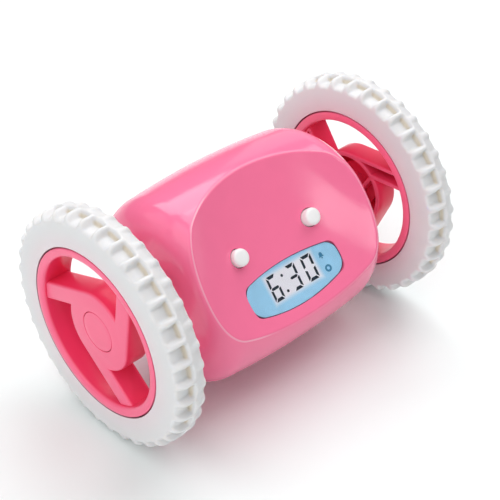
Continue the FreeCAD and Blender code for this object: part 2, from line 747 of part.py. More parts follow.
def motor_magnets():
    middle = motor_middle()
    ends = (middle - MAGNET_LENGTH / 2, middle + MAGNET_LENGTH / 2)
    ring = tube_x(MAGNET_OUTER_R, MAGNET_INNER_R, *ends)
    gap = face_box(*ends, -MAGNET_SPREAD / 2, MAGNET_SPREAD / 2, -REACH, REACH)
    magnets = ring.cut(gap)
    magnets.translate(Vector(0, MOTOR_Y, MOTOR_Z))
    return magnets.common(flattened(MOTOR_R - MOTOR_CAN_WALL, *ends))


def motor_rotor():
    middle = motor_middle()
    ends = (middle - ROTOR_LENGTH / 2, middle + ROTOR_LENGTH / 2)
    rotor = cylinder_x(ROTOR_R, *ends)
    for k in range(ROTOR_SLOTS):
        slot = Part.makeBox(
            ROTOR_LENGTH, ROTOR_R, ROTOR_SLOT, Vector(ends[0], ROTOR_CORE_R, AXLE_Z - ROTOR_SLOT / 2)
        )
        slot.rotate(Vector(0, 0, AXLE_Z), Vector(1, 0, 0), 360 / ROTOR_SLOTS * k)
        rotor = rotor.cut(slot)
    rotor.translate(Vector(0, MOTOR_Y, MOTOR_Z))
    return rotor.cut(cylinder_x(MOTOR_SHAFT_R, 0, REACH, MOTOR_Y, MOTOR_Z))


def motor_shaft():
    return cylinder_x(MOTOR_SHAFT_R, MOTOR_BACK + MARGIN, MOTOR_SHAFT_END, MOTOR_Y, MOTOR_Z)


def motor_pinion():
    space = TO_MOTOR + 180
    blank = gear(
        PINION_TEETH, PINION_ADDENDUM, WHEEL_ADDENDUM, (MOTOR_Y, MOTOR_Z),
        space + 180 / PINION_TEETH, PINION_START, PINION_END,
    )
    return blank.cut(cylinder_x(MOTOR_SHAFT_R, 0, REACH, MOTOR_Y, MOTOR_Z))


def idler_gear():
    wheel_end = IDLER_WHEEL_START + IDLER_WHEEL_WIDTH
    wheel = gear(
        WHEEL_TEETH, WHEEL_ADDENDUM, PINION_ADDENDUM, IDLER, TO_MOTOR, IDLER_WHEEL_START, wheel_end
    )
    space = TO_IDLER + 180
    pinion = gear(
        PINION_TEETH, PINION_ADDENDUM, WHEEL_ADDENDUM, IDLER, space + 180 / PINION_TEETH, wheel_end, IDLER_END
    )
    return wheel.fuse(pinion).cut(cylinder_x(PIN_R + SHAFT_CLEARANCE, 0, REACH, IDLER[0], IDLER[1]))


def output_gear():
    wheel = gear(WHEEL_TEETH, WHEEL_ADDENDUM, PINION_ADDENDUM, (0, 0), TO_IDLER, OUTPUT_START, OUTPUT_END)
    boss_start = IDLER_WHEEL_START + IDLER_WHEEL_WIDTH + END_PLAY
    boss = cylinder_x(OUTPUT_BOSS_R, boss_start, PLATE_OUTER - END_PLAY)
    return wheel.fuse(boss).cut(cylinder_x(AXLE_R, 0, REACH))


def idler_pin():
    return cylinder_x(PIN_R, PLATE_INNER, PLATE_OUTER + PLATE_THICKNESS, IDLER[0], IDLER[1])


def drive_axle():
    axle = cylinder_x(AXLE_R, AXLE_START, AXLE_END)
    return axle.cut(cylinder_x(HUB_SCREW_R, AXLE_END - HUB_SCREW_REACH, AXLE_END + MARGIN))


def motor_screw_spots():
    across = math.radians(TO_MOTOR + 90)
    step = (MOTOR_SCREW_PITCH * math.cos(across), MOTOR_SCREW_PITCH * math.sin(across))
    return [(MOTOR_Y + sign * step[0], MOTOR_Z + sign * step[1]) for sign in (1, -1)]


def inner_plate():
    slab = face_box(PLATE_INNER, PLATE_INNER + PLATE_THICKNESS, PLATE_V_MIN, PLATE_V_MAX, -REACH, REACH)
    plate = slab.common(inside(WALL + PLATE_GAP))
    start = PLATE_INNER + PLATE_THICKNESS
    posts = [cylinder_x(POST_R, start - MARGIN, PLATE_OUTER, y, z) for y, z in POSTS]
    plate = fused([plate] + posts)
    plate = plate.cut(cylinder_x(AXLE_R + SHAFT_CLEARANCE, 0, REACH))
    plate = plate.cut(cylinder_x(PIN_R, 0, REACH, IDLER[0], IDLER[1]))
    plate = plate.cut(cylinder_x(MOTOR_NOSE_R, 0, REACH, MOTOR_Y, MOTOR_Z))
    for y, z in motor_screw_spots():
        plate = plate.cut(cylinder_x(PLATE_SCREW_R, 0, REACH, y, z))
    for y, z in POSTS:
        plate = plate.cut(cylinder_x(PLATE_SCREW_R, PLATE_OUTER - PLATE_SCREW_REACH, REACH, y, z))
    return plate


def outer_plate():
    pads = [((0, 0), PLATE_PAD_R + MARGIN), (IDLER, PLATE_PAD_R)]
    pads += [(spot, POST_R + MARGIN) for spot in POSTS]
    end = PLATE_OUTER + PLATE_THICKNESS
    pieces = [cylinder_x(radius, PLATE_OUTER, end, y, z) for (y, z), radius in pads]
    for (y, z), radius in pads[1:]:
        reach = math.hypot(y, z)
        width = 2 * PLATE_PAD_R
        arm = Part.makeBox(PLATE_THICKNESS, reach, width, Vector(PLATE_OUTER, 0, -width / 2))
        arm.rotate(Vector(0, 0, 0), Vector(1, 0, 0), math.degrees(math.atan2(z, y)))
        arm.translate(Vector(0, 0, AXLE_Z))
        pieces.append(arm)
    plate = fused(pieces)
    plate = plate.cut(cylinder_x(AXLE_R + SHAFT_CLEARANCE, 0, REACH))
    plate = plate.cut(cylinder_x(PIN_R, 0, REACH, IDLER[0], IDLER[1]))
    for y, z in POSTS:
        plate = plate.cut(cylinder_x(PLATE_SCREW_R, 0, REACH, y, z))
    return plate


def gearbox_screws():
    end = PLATE_OUTER + PLATE_THICKNESS
    screws = []
    for y, z in POSTS:
        head = cylinder_x(PLATE_SCREW_HEAD_R, end, end + PLATE_SCREW_HEAD, y, z)
        screws.append(head.fuse(cylinder_x(PLATE_SCREW_R, PLATE_OUTER - PLATE_SCREW_REACH, end, y, z)))
    return Part.makeCompound(screws)


def motor_screws():
    start = PLATE_INNER + PLATE_THICKNESS
    screws = []
    for y, z in motor_screw_spots():
        head = cylinder_x(PLATE_SCREW_HEAD_R, start, start + PLATE_SCREW_HEAD / 2, y, z)
        screws.append(head.fuse(cylinder_x(PLATE_SCREW_R, PLATE_INNER, start, y, z)))
    return Part.makeCompound(screws)


def axle_bush():
    sleeve = cylinder_x(BUSH_R, BUSH_START, NECK_END)
    flange = cylinder_x(BUSH_FLANGE_R, NECK_END, NECK_END + BUSH_FLANGE)
    return fused([sleeve, flange]).cut(cylinder_x(AXLE_R + SHAFT_CLEARANCE, 0, REACH))


# ---- wheels, in wheel coordinates: z runs outwards along the axle, x and y are seen from outside ----
def place_left(shape):
    shape.transformShape(FreeCAD.Matrix(0, 0, -1, 0, -1, 0, 0, 0, 0, 1, 0, AXLE_Z, 0, 0, 0, 1))
    return shape


def place_right(shape):
    shape.transformShape(FreeCAD.Matrix(0, 0, 1, 0, 1, 0, 0, 0, 0, 1, 0, AXLE_Z, 0, 0, 0, 1))
    return shape


def disc(radius, z0, z1):
    return Part.makeCylinder(radius, z1 - z0, Vector(0, 0, z0))


def pinwheel(inset, z0, z1):
    """The hub's disc and its arms, each with one side tangent to the disc."""
    pieces = [disc(HUB_DISC_R - inset, z0, z1)]
    near = HUB_DISC_R - ARM_WIDTH + inset
    far = HUB_DISC_R - inset
    for k in range(ARM_COUNT):
        arm = Part.makeBox(RIM_R - RIM_WALL / 2, far - near, z1 - z0, Vector(0, -far, z0))
        arm.rotate(Vector(0, 0, 0), Vector(0, 0, 1), 360 / ARM_COUNT * k)
        pieces.append(arm)
    return fused(pieces)


def wheel_hub(arm_angle):
    rim = disc(RIM_R, TYRE_INNER_FACE, TYRE_OUTER_FACE)
    middle = (TYRE_INNER_FACE + TYRE_OUTER_FACE) / 2
    key = disc(RIM_R + RIM_KEY_HEIGHT, middle - RIM_KEY_WIDTH / 2, middle + RIM_KEY_WIDTH / 2)
    inner_r = RIM_R - RIM_WALL
    rim = fused([rim, key]).cut(disc(inner_r, 0, REACH + REACH))
    spokes = pinwheel(0, HUB_BACK, HUB_FACE)
    hollow = pinwheel(HUB_WALL, HUB_BACK - MARGIN, HUB_FACE - HUB_PLATE)
    ring = disc(HUB_DISC_R, HUB_BACK, HUB_FACE).cut(disc(HUB_DISC_R - HUB_RING_WALL, 0, REACH + REACH))
    spokes = spokes.cut(hollow).common(disc(inner_r + MARGIN, 0, REACH + REACH))
    boss = disc(HUB_BOSS_R, HUB_BOSS_END, HUB_FACE - HUB_PLATE)
    cup = disc(HUB_CUP_R, HUB_CUP_FLOOR - HUB_CUP_FLOOR_THICKNESS, HUB_FACE)
    ribs = []
    for k in range(ARM_COUNT):
        length = HUB_DISC_R - MARGIN
        start = Vector(0, HUB_RIB_OFFSET, HUB_BACK + MARGIN)
        rib = Part.makeBox(length, HUB_WALL, HUB_FACE - HUB_BACK - MARGIN, start)
        rib.rotate(Vector(0, 0, 0), Vector(0, 0, 1), 360 / ARM_COUNT * k - HUB_RIB_TURN)
        ribs.append(rib.common(disc(HUB_DISC_R - MARGIN, 0, REACH + REACH)))
    hub = fused([rim, spokes, ring, boss, cup] + ribs)
    hub = hub.cut(disc(CAP_R + CAP_CLEARANCE, HUB_CUP_FLOOR, REACH + REACH))
    hub = hub.cut(disc(AXLE_R, 0, AXLE_END))
    hub = hub.cut(disc(HUB_SCREW_R, 0, REACH + REACH))
    hub.rotate(Vector(0, 0, 0), Vector(0, 0, 1), arm_angle)
    return hub


def hub_cap():
    cap = disc(CAP_R, HUB_CUP_FLOOR, HUB_FACE)
    return cap.cut(disc(CAP_R - CAP_SKIRT_WALL, 0, HUB_FACE - CAP_THICKNESS))


def hub_screw():
    head = disc(HUB_SCREW_HEAD_R, HUB_CUP_FLOOR, HUB_CUP_FLOOR + HUB_SCREW_HEAD)
    shank = disc(HUB_SCREW_R, AXLE_END - HUB_SCREW_REACH, HUB_CUP_FLOOR)
    return fused([head, shank])


def tyre():
    """A tyre with staggered rows of lugs on both sides of a middle rib."""
    middle = (TYRE_INNER_FACE + TYRE_OUTER_FACE) / 2
    shoulder_in = TYRE_INNER_FACE + TREAD_EDGE
    shoulder_out = TYRE_OUTER_FACE - TREAD_EDGE
    profile = [
        Vector(RIM_R, 0, TYRE_INNER_FACE),
        Vector(TYRE_SHOULDER_R, 0, TYRE_INNER_FACE),
        Vector(TYRE_POCKET_R, 0, shoulder_in),
        Vector(TYRE_POCKET_R, 0, shoulder_out),
        Vector(TYRE_SHOULDER_R, 0, TYRE_OUTER_FACE),
        Vector(RIM_R, 0, TYRE_OUTER_FACE),
    ]
    carcass = revolved(Part.Face(Part.makePolygon(profile + profile[:1])), Vector(0, 0, 1))
    rib = disc(TYRE_TIP_R - TREAD_RIB_DROP, middle - TREAD_RIB_WIDTH / 2, middle + TREAD_RIB_WIDTH / 2)
    rib = rib.cut(disc(TYRE_POCKET_R - MARGIN, 0, REACH + REACH))
    lugs = []
    rows = [(TYRE_INNER_FACE, shoulder_in, middle, 0.0), (TYRE_OUTER_FACE, shoulder_out, middle, 0.5)]
    for face, shoulder, end, stagger in rows:
        side = [
            Vector(TYRE_POCKET_R - MARGIN, 0, face),
            Vector(TYRE_SHOULDER_R, 0, face),
            Vector(TYRE_TIP_R, 0, shoulder),
            Vector(TYRE_TIP_R, 0, end),
            Vector(TYRE_POCKET_R - MARGIN, 0, end),
        ]
        base = Part.Face(Part.makePolygon(side + side[:1]))
        base.translate(Vector(0, -LUG_ROOT_WIDTH / 2, 0))
        lug = base.extrude(Vector(0, LUG_ROOT_WIDTH, 0))
        for sign in (1, -1):
            slope = (LUG_ROOT_WIDTH - LUG_WIDTH) / 2
            top = LUG_WIDTH / 2
            depth = TYRE_TIP_R - TYRE_POCKET_R
            wedge = [
                Vector(TYRE_POCKET_R, sign * (top + slope), 0),
                Vector(TYRE_TIP_R + depth, sign * (top - slope), 0),
                Vector(TYRE_TIP_R + depth, sign * (top + slope + MARGIN), 0),
                Vector(TYRE_POCKET_R, sign * (top + slope + MARGIN), 0),
            ]
            lug = lug.cut(prism(Part.makePolygon(wedge + wedge[:1]), REACH + REACH))
        for k in range(LUGS):
            copy = lug.copy()
            copy.rotate(Vector(0, 0, 0), Vector(0, 0, 1), 360 / LUGS * (k + stagger))
            lugs.append(copy)
    body = carcass.multiFuse([rib] + lugs)
    body = body.cut(disc(RIM_R, 0, REACH + REACH))
    groove = disc(RIM_R + RIM_KEY_HEIGHT, middle - RIM_KEY_WIDTH / 2, middle + RIM_KEY_WIDTH / 2)
    return body.cut(groove).removeSplitter()


# ---- batteries ----
def cell_angles():
    first = PACK_ANGLE - CELL_PITCH * (CELL_COUNT - 1) / 2
    return [first + CELL_PITCH * k for k in range(CELL_COUNT)]


def battery(index):
    facing = 1 if index % 2 else -1
    half = CELL_LENGTH / 2
    can = Part.makeCylinder(CELL_R, CELL_LENGTH - CELL_NUB, Vector(-half, 0, CELL_RING_R), Vector(1, 0, 0))
    start = Vector(half - CELL_NUB - MARGIN, 0, CELL_RING_R)
    nub = Part.makeCylinder(CELL_NUB_R, CELL_NUB + MARGIN, start, Vector(1, 0, 0))
    cell = fused([can, nub])
    if facing < 0:
        cell = mirrored(cell)
    return radial(cell, cell_angles()[index])


def arc_sector(inner, outer, half_angle, x0, x1):
    """A sector of a ring about the body's axis, centred on the battery pack."""
    ring = Part.makeCylinder(outer, x1 - x0, Vector(x0, 0, 0), Vector(1, 0, 0))
    core = Part.makeCylinder(inner, x1 - x0 + 2 * MARGIN, Vector(x0 - MARGIN, 0, 0), Vector(1, 0, 0))
    ring = ring.cut(core)
    reach = REACH * math.tan(math.radians(half_angle))
    corners = [Vector(x0, 0, 0), Vector(x0, -reach, REACH), Vector(x0, reach, REACH)]
    wedge = Part.Face(Part.makePolygon(corners + corners[:1])).extrude(Vector(x1 - x0, 0, 0))
    return radial(ring.common(wedge), PACK_ANGLE)


def battery_tray():
    floor_r = CELL_RING_R - CELL_R - TRAY_GAP
    end = TRAY_END + TRAY_WALL
    side_angle = math.degrees(TRAY_WALL / CELL_RING_R)
    block = arc_sector(floor_r - TRAY_WALL, BODY_R, TRAY_HALF_ANGLE + side_angle, -end, end)
    hollow = arc_sector(floor_r, BODY_R + MARGIN, TRAY_HALF_ANGLE, -TRAY_END, TRAY_END)
    return block.cut(hollow).common(inside(WALL + TRAY_GAP))


def contact_plate(index, side):
    """A flat contact on the tray's end wall, or one with a bowed spring leaf."""
    thickness = CONTACT_THICKNESS
    half = CONTACT_WIDTH / 2
    inner = TRAY_END - thickness
    plate = Part.makeBox(thickness, CONTACT_WIDTH, CONTACT_WIDTH, Vector(inner, -half, CELL_RING_R - half))
    positive = (index % 2 == 1) == (side > 0)
    if positive:
        start = Vector(inner - CONTACT_REACH, 0, CELL_RING_R)
        plate = fused([plate, Part.makeCylinder(CELL_NUB_R, CONTACT_REACH, start, Vector(1, 0, 0))])
    else:
        bow = [
            Vector(inner, 0, CELL_RING_R - half),
            Vector(inner - CONTACT_REACH, 0, CELL_RING_R),
            Vector(inner, 0, CELL_RING_R + half),
            Vector(inner, 0, CELL_RING_R + half - 2 * thickness),
            Vector(inner - CONTACT_REACH + thickness, 0, CELL_RING_R),
            Vector(inner, 0, CELL_RING_R - half + 2 * thickness),
        ]
        leaf = Part.Face(Part.makePolygon(bow + bow[:1])).extrude(Vector(0, half, 0))
        plate = fused([plate, leaf])
    if side < 0:
        plate = mirrored(plate)
    return radial(plate, cell_angles()[index]), positive


def battery_contacts():
    found = {True: [], False: []}
    for index in range(CELL_COUNT):
        for side in (1, -1):
            plate, positive = contact_plate(index, side)
            found[positive].append(plate)
    return Part.makeCompound(found[True]), Part.makeCompound(found[False])


# ---- export ----
def build():
    front, rear = shells()
    plates, leaves = battery_contacts()
    nodes = {
        "front_shell": front,
        "rear_shell": rear,
        "battery_door": battery_door(),
        "shell_screws": shell_screws(),
        "lcd_lens": lcd_lens(),
        "lcd_glass": lcd_glass(),
        "backlight_panel": backlight_panel(),
        "lcd_contact_strip": contact_strip(),
        "display_frame": display_frame(),
        "main_board": main_board(),
        "board_screws": board_screws(),
        "controller_chip": controller_chip(),
        "quartz_crystal": quartz_crystal(),
        "loudspeaker": loudspeaker(),
        "battery_tray": battery_tray(),
        "flat_contacts": plates,
        "spring_contacts": leaves,
    }
    for index in range(CELL_COUNT):
        nodes["battery_%d" % (index + 1)] = battery(index)
    nodes["tact_switches"] = Part.makeCompound([tact_switch(-BUTTON_X), tact_switch(BUTTON_X)])
    for name, x in (("left", -BUTTON_X), ("right", BUTTON_X)):
        nodes[name + "_button"] = button(x)
    drive = {
        "motor_can": motor_can(),
        "motor_end_cap": motor_end_cap(),
        "motor_magnets": motor_magnets(),
        "motor_rotor": motor_rotor(),
        "motor_shaft": motor_shaft(),
        "motor_pinion": motor_pinion(),
        "idler_gear": idler_gear(),
        "output_gear": output_gear(),
        "drive_axle": drive_axle(),
        "gearbox_inner_plate": inner_plate(),
        "gearbox_outer_plate": outer_plate(),
        "axle_bush": axle_bush(),
    }
    for name, shape in drive.items():
        nodes["right_" + name] = shape
        nodes["left_" + name] = mirrored(shape)
    pairs = {"idler_pins": idler_pin(), "gearbox_screws": gearbox_screws(), "motor_screws": motor_screws()}
    for name, shape in pairs.items():
        nodes[name] = Part.makeCompound([shape, mirrored(shape)])
    tread = tyre()
    sides = [("left", place_left, ARM_ANGLE_LEFT), ("right", place_right, ARM_ANGLE_RIGHT)]
    for name, place, arm_angle in sides:
        nodes[name + "_wheel_hub"] = place(wheel_hub(arm_angle))
        nodes[name + "_tyre"] = place(tread.copy())
        nodes[name + "_hub_cap"] = place(hub_cap())
        nodes[name + "_hub_screw"] = place(hub_screw())
    return nodes


os.makedirs("parts", exist_ok=True)
for node, shape in build().items():
    shape.exportStep("parts/%s.step" % node)
    print(node, "solids", len(shape.Solids), "valid", shape.isValid(), "volume", round(shape.Volume, 1))
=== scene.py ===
"""The looks of the runaway alarm clock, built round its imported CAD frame. Blender 4.5, metres."""

import math

import bmesh
import bpy
from mathutils import Matrix, Vector


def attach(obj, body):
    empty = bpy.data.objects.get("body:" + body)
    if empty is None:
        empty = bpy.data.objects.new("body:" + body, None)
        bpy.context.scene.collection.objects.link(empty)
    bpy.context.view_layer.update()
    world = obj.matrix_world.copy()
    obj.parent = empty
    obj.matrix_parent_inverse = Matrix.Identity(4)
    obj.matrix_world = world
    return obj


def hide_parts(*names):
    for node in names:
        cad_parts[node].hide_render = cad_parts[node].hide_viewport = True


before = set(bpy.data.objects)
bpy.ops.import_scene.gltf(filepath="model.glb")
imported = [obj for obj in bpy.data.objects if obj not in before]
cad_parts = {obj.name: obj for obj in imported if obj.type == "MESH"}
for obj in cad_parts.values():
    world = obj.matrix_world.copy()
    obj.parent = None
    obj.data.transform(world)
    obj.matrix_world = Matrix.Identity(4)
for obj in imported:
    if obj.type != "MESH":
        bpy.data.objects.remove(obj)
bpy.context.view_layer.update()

# Sizes are in millimetres; times MM they are in metres. The studio's are in metres.
MM = 0.001
AXLE_HEIGHT = 44.5 * MM

# ---- the face: x across, v up the dished face, w out of it, all from the axle ----
FACE_TILT = math.radians(40.0)
DISH_DEPTH = 20.5
DISH_BOW_ACROSS = 0.00569
DISH_BOW_UP = 0.00281
DISH_TWIST = 0.00009

# ---- tyres; heights along a wheel run outwards from the clock's middle ----
INNER_FACE = 55.2
OUTER_FACE = 68.0
WHEEL_MIDDLE = (INNER_FACE + OUTER_FACE) / 2
TREAD_COLUMNS = 360
COLUMNS_PER_LUG = 10
OUTER_LUG_COLUMN = 5
INNER_LUG_COLUMN = 0

# ---- hubs ----
RIM_R = 32.0
RIM_BORE_R = 28.3
HUB_FACE = 66.4
HUB_BACK = 57.0
DISC_R = 15.0
ARM_COUNT = 3
ARM_WIDTH = 6.8
ARM_REACH = 29.0
LEFT_ARM_TURN = 81.4
RIGHT_ARM_TURN = 54.0
PLATE = 1.7
TRAY_WALL = 1.4
FRONT_ROUND = 0.85
BACK_ROUND = 0.3
RING_R = 14.8
RING_BORE_R = 13.2
RIB_SIZE = (13.6, 1.4, 8.4)
RIB_MIDDLE = (7.0, 3.3, 61.4)
RIB_TURN = -51
RIB_ROUND = 0.3
BOSS_R = 4.6
BOSS_BORE_R = 1.45
AXLE_R = 1.5
AXLE_END = 61.9
SCREW_R = 1.0
CAP_R = 7.45
CAP_CLEARANCE = 0.17
CAP_BACK = 63.5

# ---- the display's window, bowed on all four sides ----
WINDOW_SIDE = 21.1
WINDOW_TOP = -10.2
WINDOW_BOTTOM = -21.4
WINDOW_CORNER = 3.2
SIDE_BOW = 0.9
TOP_BOW = 2.1
BOTTOM_BOW = 3.5

# ---- what the display shows: each digit with its left side and its width, and the signs beside them ----
READOUT = [("6", -10.55, 4.65), ("3", -1.05, 4.4), ("0", 6.3, 4.75)]
DIGIT_TOP = -10.55
DIGIT_HEIGHT = 9.45
DIGIT_SLANT = 0.7
STROKE = 1.15
UPRIGHT_STROKE = 0.85 * STROKE
MITRE = 0.8 * STROKE
CORNER_GAP = 0.35
MIDDLE_GAP = 0.3
MIDDLE_MITRE = 0.75
MIDDLE_TIP = 0.45
MIDDLE_HALF_STROKE = 0.5
COLON = [(-3.2, -12.65), (-3.9, -18.4)]
COLON_R = 0.55
BELL_PLACE = (15.0, -13.3)
CLAPPER_PLACE = (15.0, -14.5)
CLAPPER_R = 0.3
SIGN_RING_PLACE = (15.3, -18.8)
SIGN_RING_R = 1.35
SIGN_RING_BORE_R = 0.6
INK_FRONT = 0.42
INK_THICKNESS = 0.03

# ---- buttons ----
BUTTON_PLACES = {"left": (-17.4, 0.4), "right": (17.4, 0.4)}
BUTTON_R = 3.2
BUTTON_FLANGE_R = 4.3
BUTTON_FOOT_R = 1.5

# ---- the camera ----
CAMERA_PLACE = (-264.5 * MM, -283.9 * MM, 298.2 * MM + AXLE_HEIGHT)
CAMERA_TURN = (math.radians(52.43), 0.0, math.radians(-43.42))
CAMERA_LENS = 97.16
CAMERA_SENSOR = 36.0
CAMERA_NEAREST = 0.01
CAMERA_FURTHEST = 10.0

# ---- the studio ----
FLOOR_SIZE = 6.0
PAPER_WHITE = (0.885, 0.93, 0.925, 1.0)
AIR_WHITE = (1.0, 1.0, 1.0, 1.0)
AIR_STRENGTH = 0.15

# what the lamps look at, and the line along which the strip in front lies
CLOCK_MIDDLE = (0, 0, AXLE_HEIGHT)
SHOULDER = (-20 * MM, 0, 79 * MM)
DISH_SIDE = (28 * MM, -21 * MM, 58 * MM)
DISH_LIP = (-39 * MM, -24 * MM, 66 * MM)
STRIP_LINE = (0.246, 0.084, 0.115)

# name, place, what it looks at, width, height, power, and the line of its width: None where that is level
SOFTBOXES = [
    ("overhead_right", (0.45, 0.0, 0.8), CLOCK_MIDDLE, 0.8, 0.8, 5.2, None),
    ("overhead_left", (-0.45, -0.1, 0.8), CLOCK_MIDDLE, 0.9, 0.9, 3.8, None),
    ("left_softbox", (-1.0, -0.25, 0.32), CLOCK_MIDDLE, 0.6, 0.4, 2.3, None),
    ("back_softbox", (0.20, 0.55, 0.69), SHOULDER, 0.5, 0.42, 2.3, None),
    ("back_left_fill", (-0.45, 0.6, 0.6), CLOCK_MIDDLE, 0.5, 0.5, 0.6, None),
    ("back_card", (1.58, 1.15, 0.55), CLOCK_MIDDLE, 1.2, 0.9, 2.4, None),
    ("front_strip", (0.12, -1.075, 0.625), DISH_SIDE, 0.31, 0.05, 0.42, STRIP_LINE),
    ("lip_strip", (-0.447, -1.03, 0.573), DISH_LIP, 0.1, 0.4, 1.3, None),
]


def add_camera():
    data = bpy.data.cameras.new("camera")
    data.lens = CAMERA_LENS
    data.sensor_width = CAMERA_SENSOR
    data.clip_start = CAMERA_NEAREST
    data.clip_end = CAMERA_FURTHEST
    camera = bpy.data.objects.new("camera", data)
    camera.location = CAMERA_PLACE
    camera.rotation_euler = CAMERA_TURN
    bpy.context.scene.collection.objects.link(camera)
    bpy.context.scene.camera = camera


def add_softbox(name, place, target, width, height, power, along):
    """A rectangular lamp that looks at its target."""
    data = bpy.data.lights.new(name, "AREA")
    data.shape = "RECTANGLE"
    data.size = width
    data.size_y = height
    data.energy = power
    lamp = bpy.data.objects.new(name, data)
    lamp.location = place
    away = (Vector(place) - Vector(target)).normalized()
    across = Vector((0, 0, 1)).cross(away) if along is None else Vector(along)
    upright = away.cross(across).normalized()
    across = upright.cross(away)
    lamp.rotation_euler = Matrix((across, upright, away)).transposed().to_euler()
    bpy.context.scene.collection.objects.link(lamp)


def add_floor():
    """A wide sheet of matt, faintly cool white paper."""
    bpy.ops.mesh.primitive_plane_add(size=FLOOR_SIZE, location=(0, 0, 0))
    floor = bpy.context.object
    floor.name = "floor"
    paper = bpy.data.materials.new("studio_paper")
    paper.use_nodes = True
    shader = paper.node_tree.nodes["Principled BSDF"]
    shader.inputs["Base Color"].default_value = PAPER_WHITE
    shader.inputs["Roughness"].default_value = 0.9
    shader.inputs["Specular IOR Level"].default_value = 0.1
    floor.data.materials.append(paper)


def add_air():
    """A little even light from all round."""
    world = bpy.data.worlds.new("studio_air")
    bpy.context.scene.world = world
    world.use_nodes = True
    background = world.node_tree.nodes["Background"]
    background.inputs["Color"].default_value = AIR_WHITE
    background.inputs["Strength"].default_value = AIR_STRENGTH


def add_studio():
    add_floor()
    add_air()
    for softbox in SOFTBOXES:
        add_softbox(*softbox)


# ---- working with material nodes; a tree's places and distances are in metres ----
def maths(tree, operation, first, second=0.0):
    """The outcome of a sum on two sockets or numbers."""
    node = tree.nodes.new("ShaderNodeMath")
    node.operation = operation
    for socket, value in zip(node.inputs, (first, second)):
        if isinstance(value, (int, float)):
            socket.default_value = value
        else:
            tree.links.new(value, socket)
    return node.outputs["Value"]


def product(tree, value, *others):
    """Sockets and numbers multiplied together."""
    for other in others:
        value = maths(tree, "MULTIPLY", value, other)
    return value


def total(tree, value, *others):
    """Sockets and numbers added together."""
    for other in others:
        value = maths(tree, "ADD", value, other)
    return value


def eased(tree, source, start, end, before, after):
    """One number up to start and another beyond end, both in mm, with a soft passage between."""
    node = tree.nodes.new("ShaderNodeMapRange")
    node.interpolation_type = "SMOOTHSTEP"
    node.inputs["From Min"].default_value = start * MM
    node.inputs["From Max"].default_value = end * MM
    node.inputs["To Min"].default_value = before
    node.inputs["To Max"].default_value = after
    tree.links.new(source, node.inputs["Value"])
    return node.outputs["Result"]


def fading(tree, source, start, end):
    """One up to start, nought beyond end."""
    return eased(tree, source, start, end, 1.0, 0.0)


def rising(tree, source, start, end):
    """Nought up to start, one beyond end."""
    return eased(tree, source, start, end, 0.0, 1.0)


def vector_maths(tree, operation, source, other):
    """The outcome of a sum on a vector socket and a fixed vector."""
    node = tree.nodes.new("ShaderNodeVectorMath")
    node.operation = operation
    tree.links.new(source, node.inputs[0])
    node.inputs[1].default_value = other
    return node.outputs["Value" if operation in ("DISTANCE", "DOT_PRODUCT") else "Vector"]


def object_place(tree):
    """Where a point lies in the clock's own frame."""
    return tree.nodes.new("ShaderNodeTexCoord").outputs["Object"]


def off_middle(tree):
    """How far a point lies to the side of the clock's middle, with its sign."""
    axes = tree.nodes.new("ShaderNodeSeparateXYZ")
    tree.links.new(object_place(tree), axes.inputs["Vector"])
    return axes.outputs["X"]


def off_value(tree, source, value):
    """How far a socket lies from a value in mm, either way."""
    return maths(tree, "ABSOLUTE", maths(tree, "SUBTRACT", source, value * MM))


def off_wheel_middle(tree):
    """How far a point lies from the middle plane of its wheel."""
    return off_value(tree, off_value(tree, off_middle(tree), 0.0), WHEEL_MIDDLE)


def off_axle(tree):
    """How far a point lies from the line of the axle."""
    flattened = vector_maths(tree, "MULTIPLY", object_place(tree), (0, 1, 1))
    return vector_maths(tree, "DISTANCE", flattened, (0, 0, AXLE_HEIGHT))


def toned(material, amount, colour):
    """Mixes a second colour in where the amount rises to one."""
    tree = material.node_tree
    shader = tree.nodes["Principled BSDF"]
    mix = tree.nodes.new("ShaderNodeMix")
    mix.data_type = "RGBA"
    tree.links.new(amount, mix.inputs["Factor"])
    tree.links.new(shader.inputs["Base Color"].links[0].from_socket, mix.inputs["A"])
    mix.inputs["B"].default_value = colour + (1.0,)
    tree.links.new(mix.outputs["Result"], shader.inputs["Base Color"])
    return material


# ---- the dished face ----
FACE_PLACE = Matrix(
    (
        (1, 0, 0, 0),
        (0, math.sin(FACE_TILT), -math.cos(FACE_TILT), 0),
        (0, math.cos(FACE_TILT), math.sin(FACE_TILT), AXLE_HEIGHT),
        (0, 0, 0, 1),
    )
)


def dish(x, v, inset):
    """Height of the dished face over the axle, in mm, less an inset."""
    return DISH_DEPTH + DISH_BOW_ACROSS * x * x + DISH_BOW_UP * v * v + DISH_TWIST * x * x * v - inset


def off_face(tree):
    """How far a point lies across and up the face, and below the dish carried on past its edge."""
    place = object_place(tree)
    across = off_middle(tree)
    up = vector_maths(tree, "DOT_PRODUCT", place, (0, math.sin(FACE_TILT), math.cos(FACE_TILT)))
    up = maths(tree, "SUBTRACT", up, AXLE_HEIGHT * math.cos(FACE_TILT))
    out = vector_maths(tree, "DOT_PRODUCT", place, (0, -math.cos(FACE_TILT), math.sin(FACE_TILT)))
    out = maths(tree, "SUBTRACT", out, AXLE_HEIGHT * math.sin(FACE_TILT))
    bow = product(tree, across, across, DISH_BOW_ACROSS / MM)
    rise = product(tree, up, up, DISH_BOW_UP / MM)
    twist = product(tree, across, across, up, DISH_TWIST / MM**2)
    surface = total(tree, bow, rise, twist, DISH_DEPTH * MM)
    return across, up, maths(tree, "SUBTRACT", surface, out)


def off_box(tree, across, up, middle, half_size):
    """How far a point of the face lies outside a box on it."""
    beside = maths(tree, "SUBTRACT", off_value(tree, across, middle[0]), half_size[0] * MM)
    above = maths(tree, "SUBTRACT", off_value(tree, up, middle[1]), half_size[1] * MM)
    return maths(tree, "MAXIMUM", beside, above)


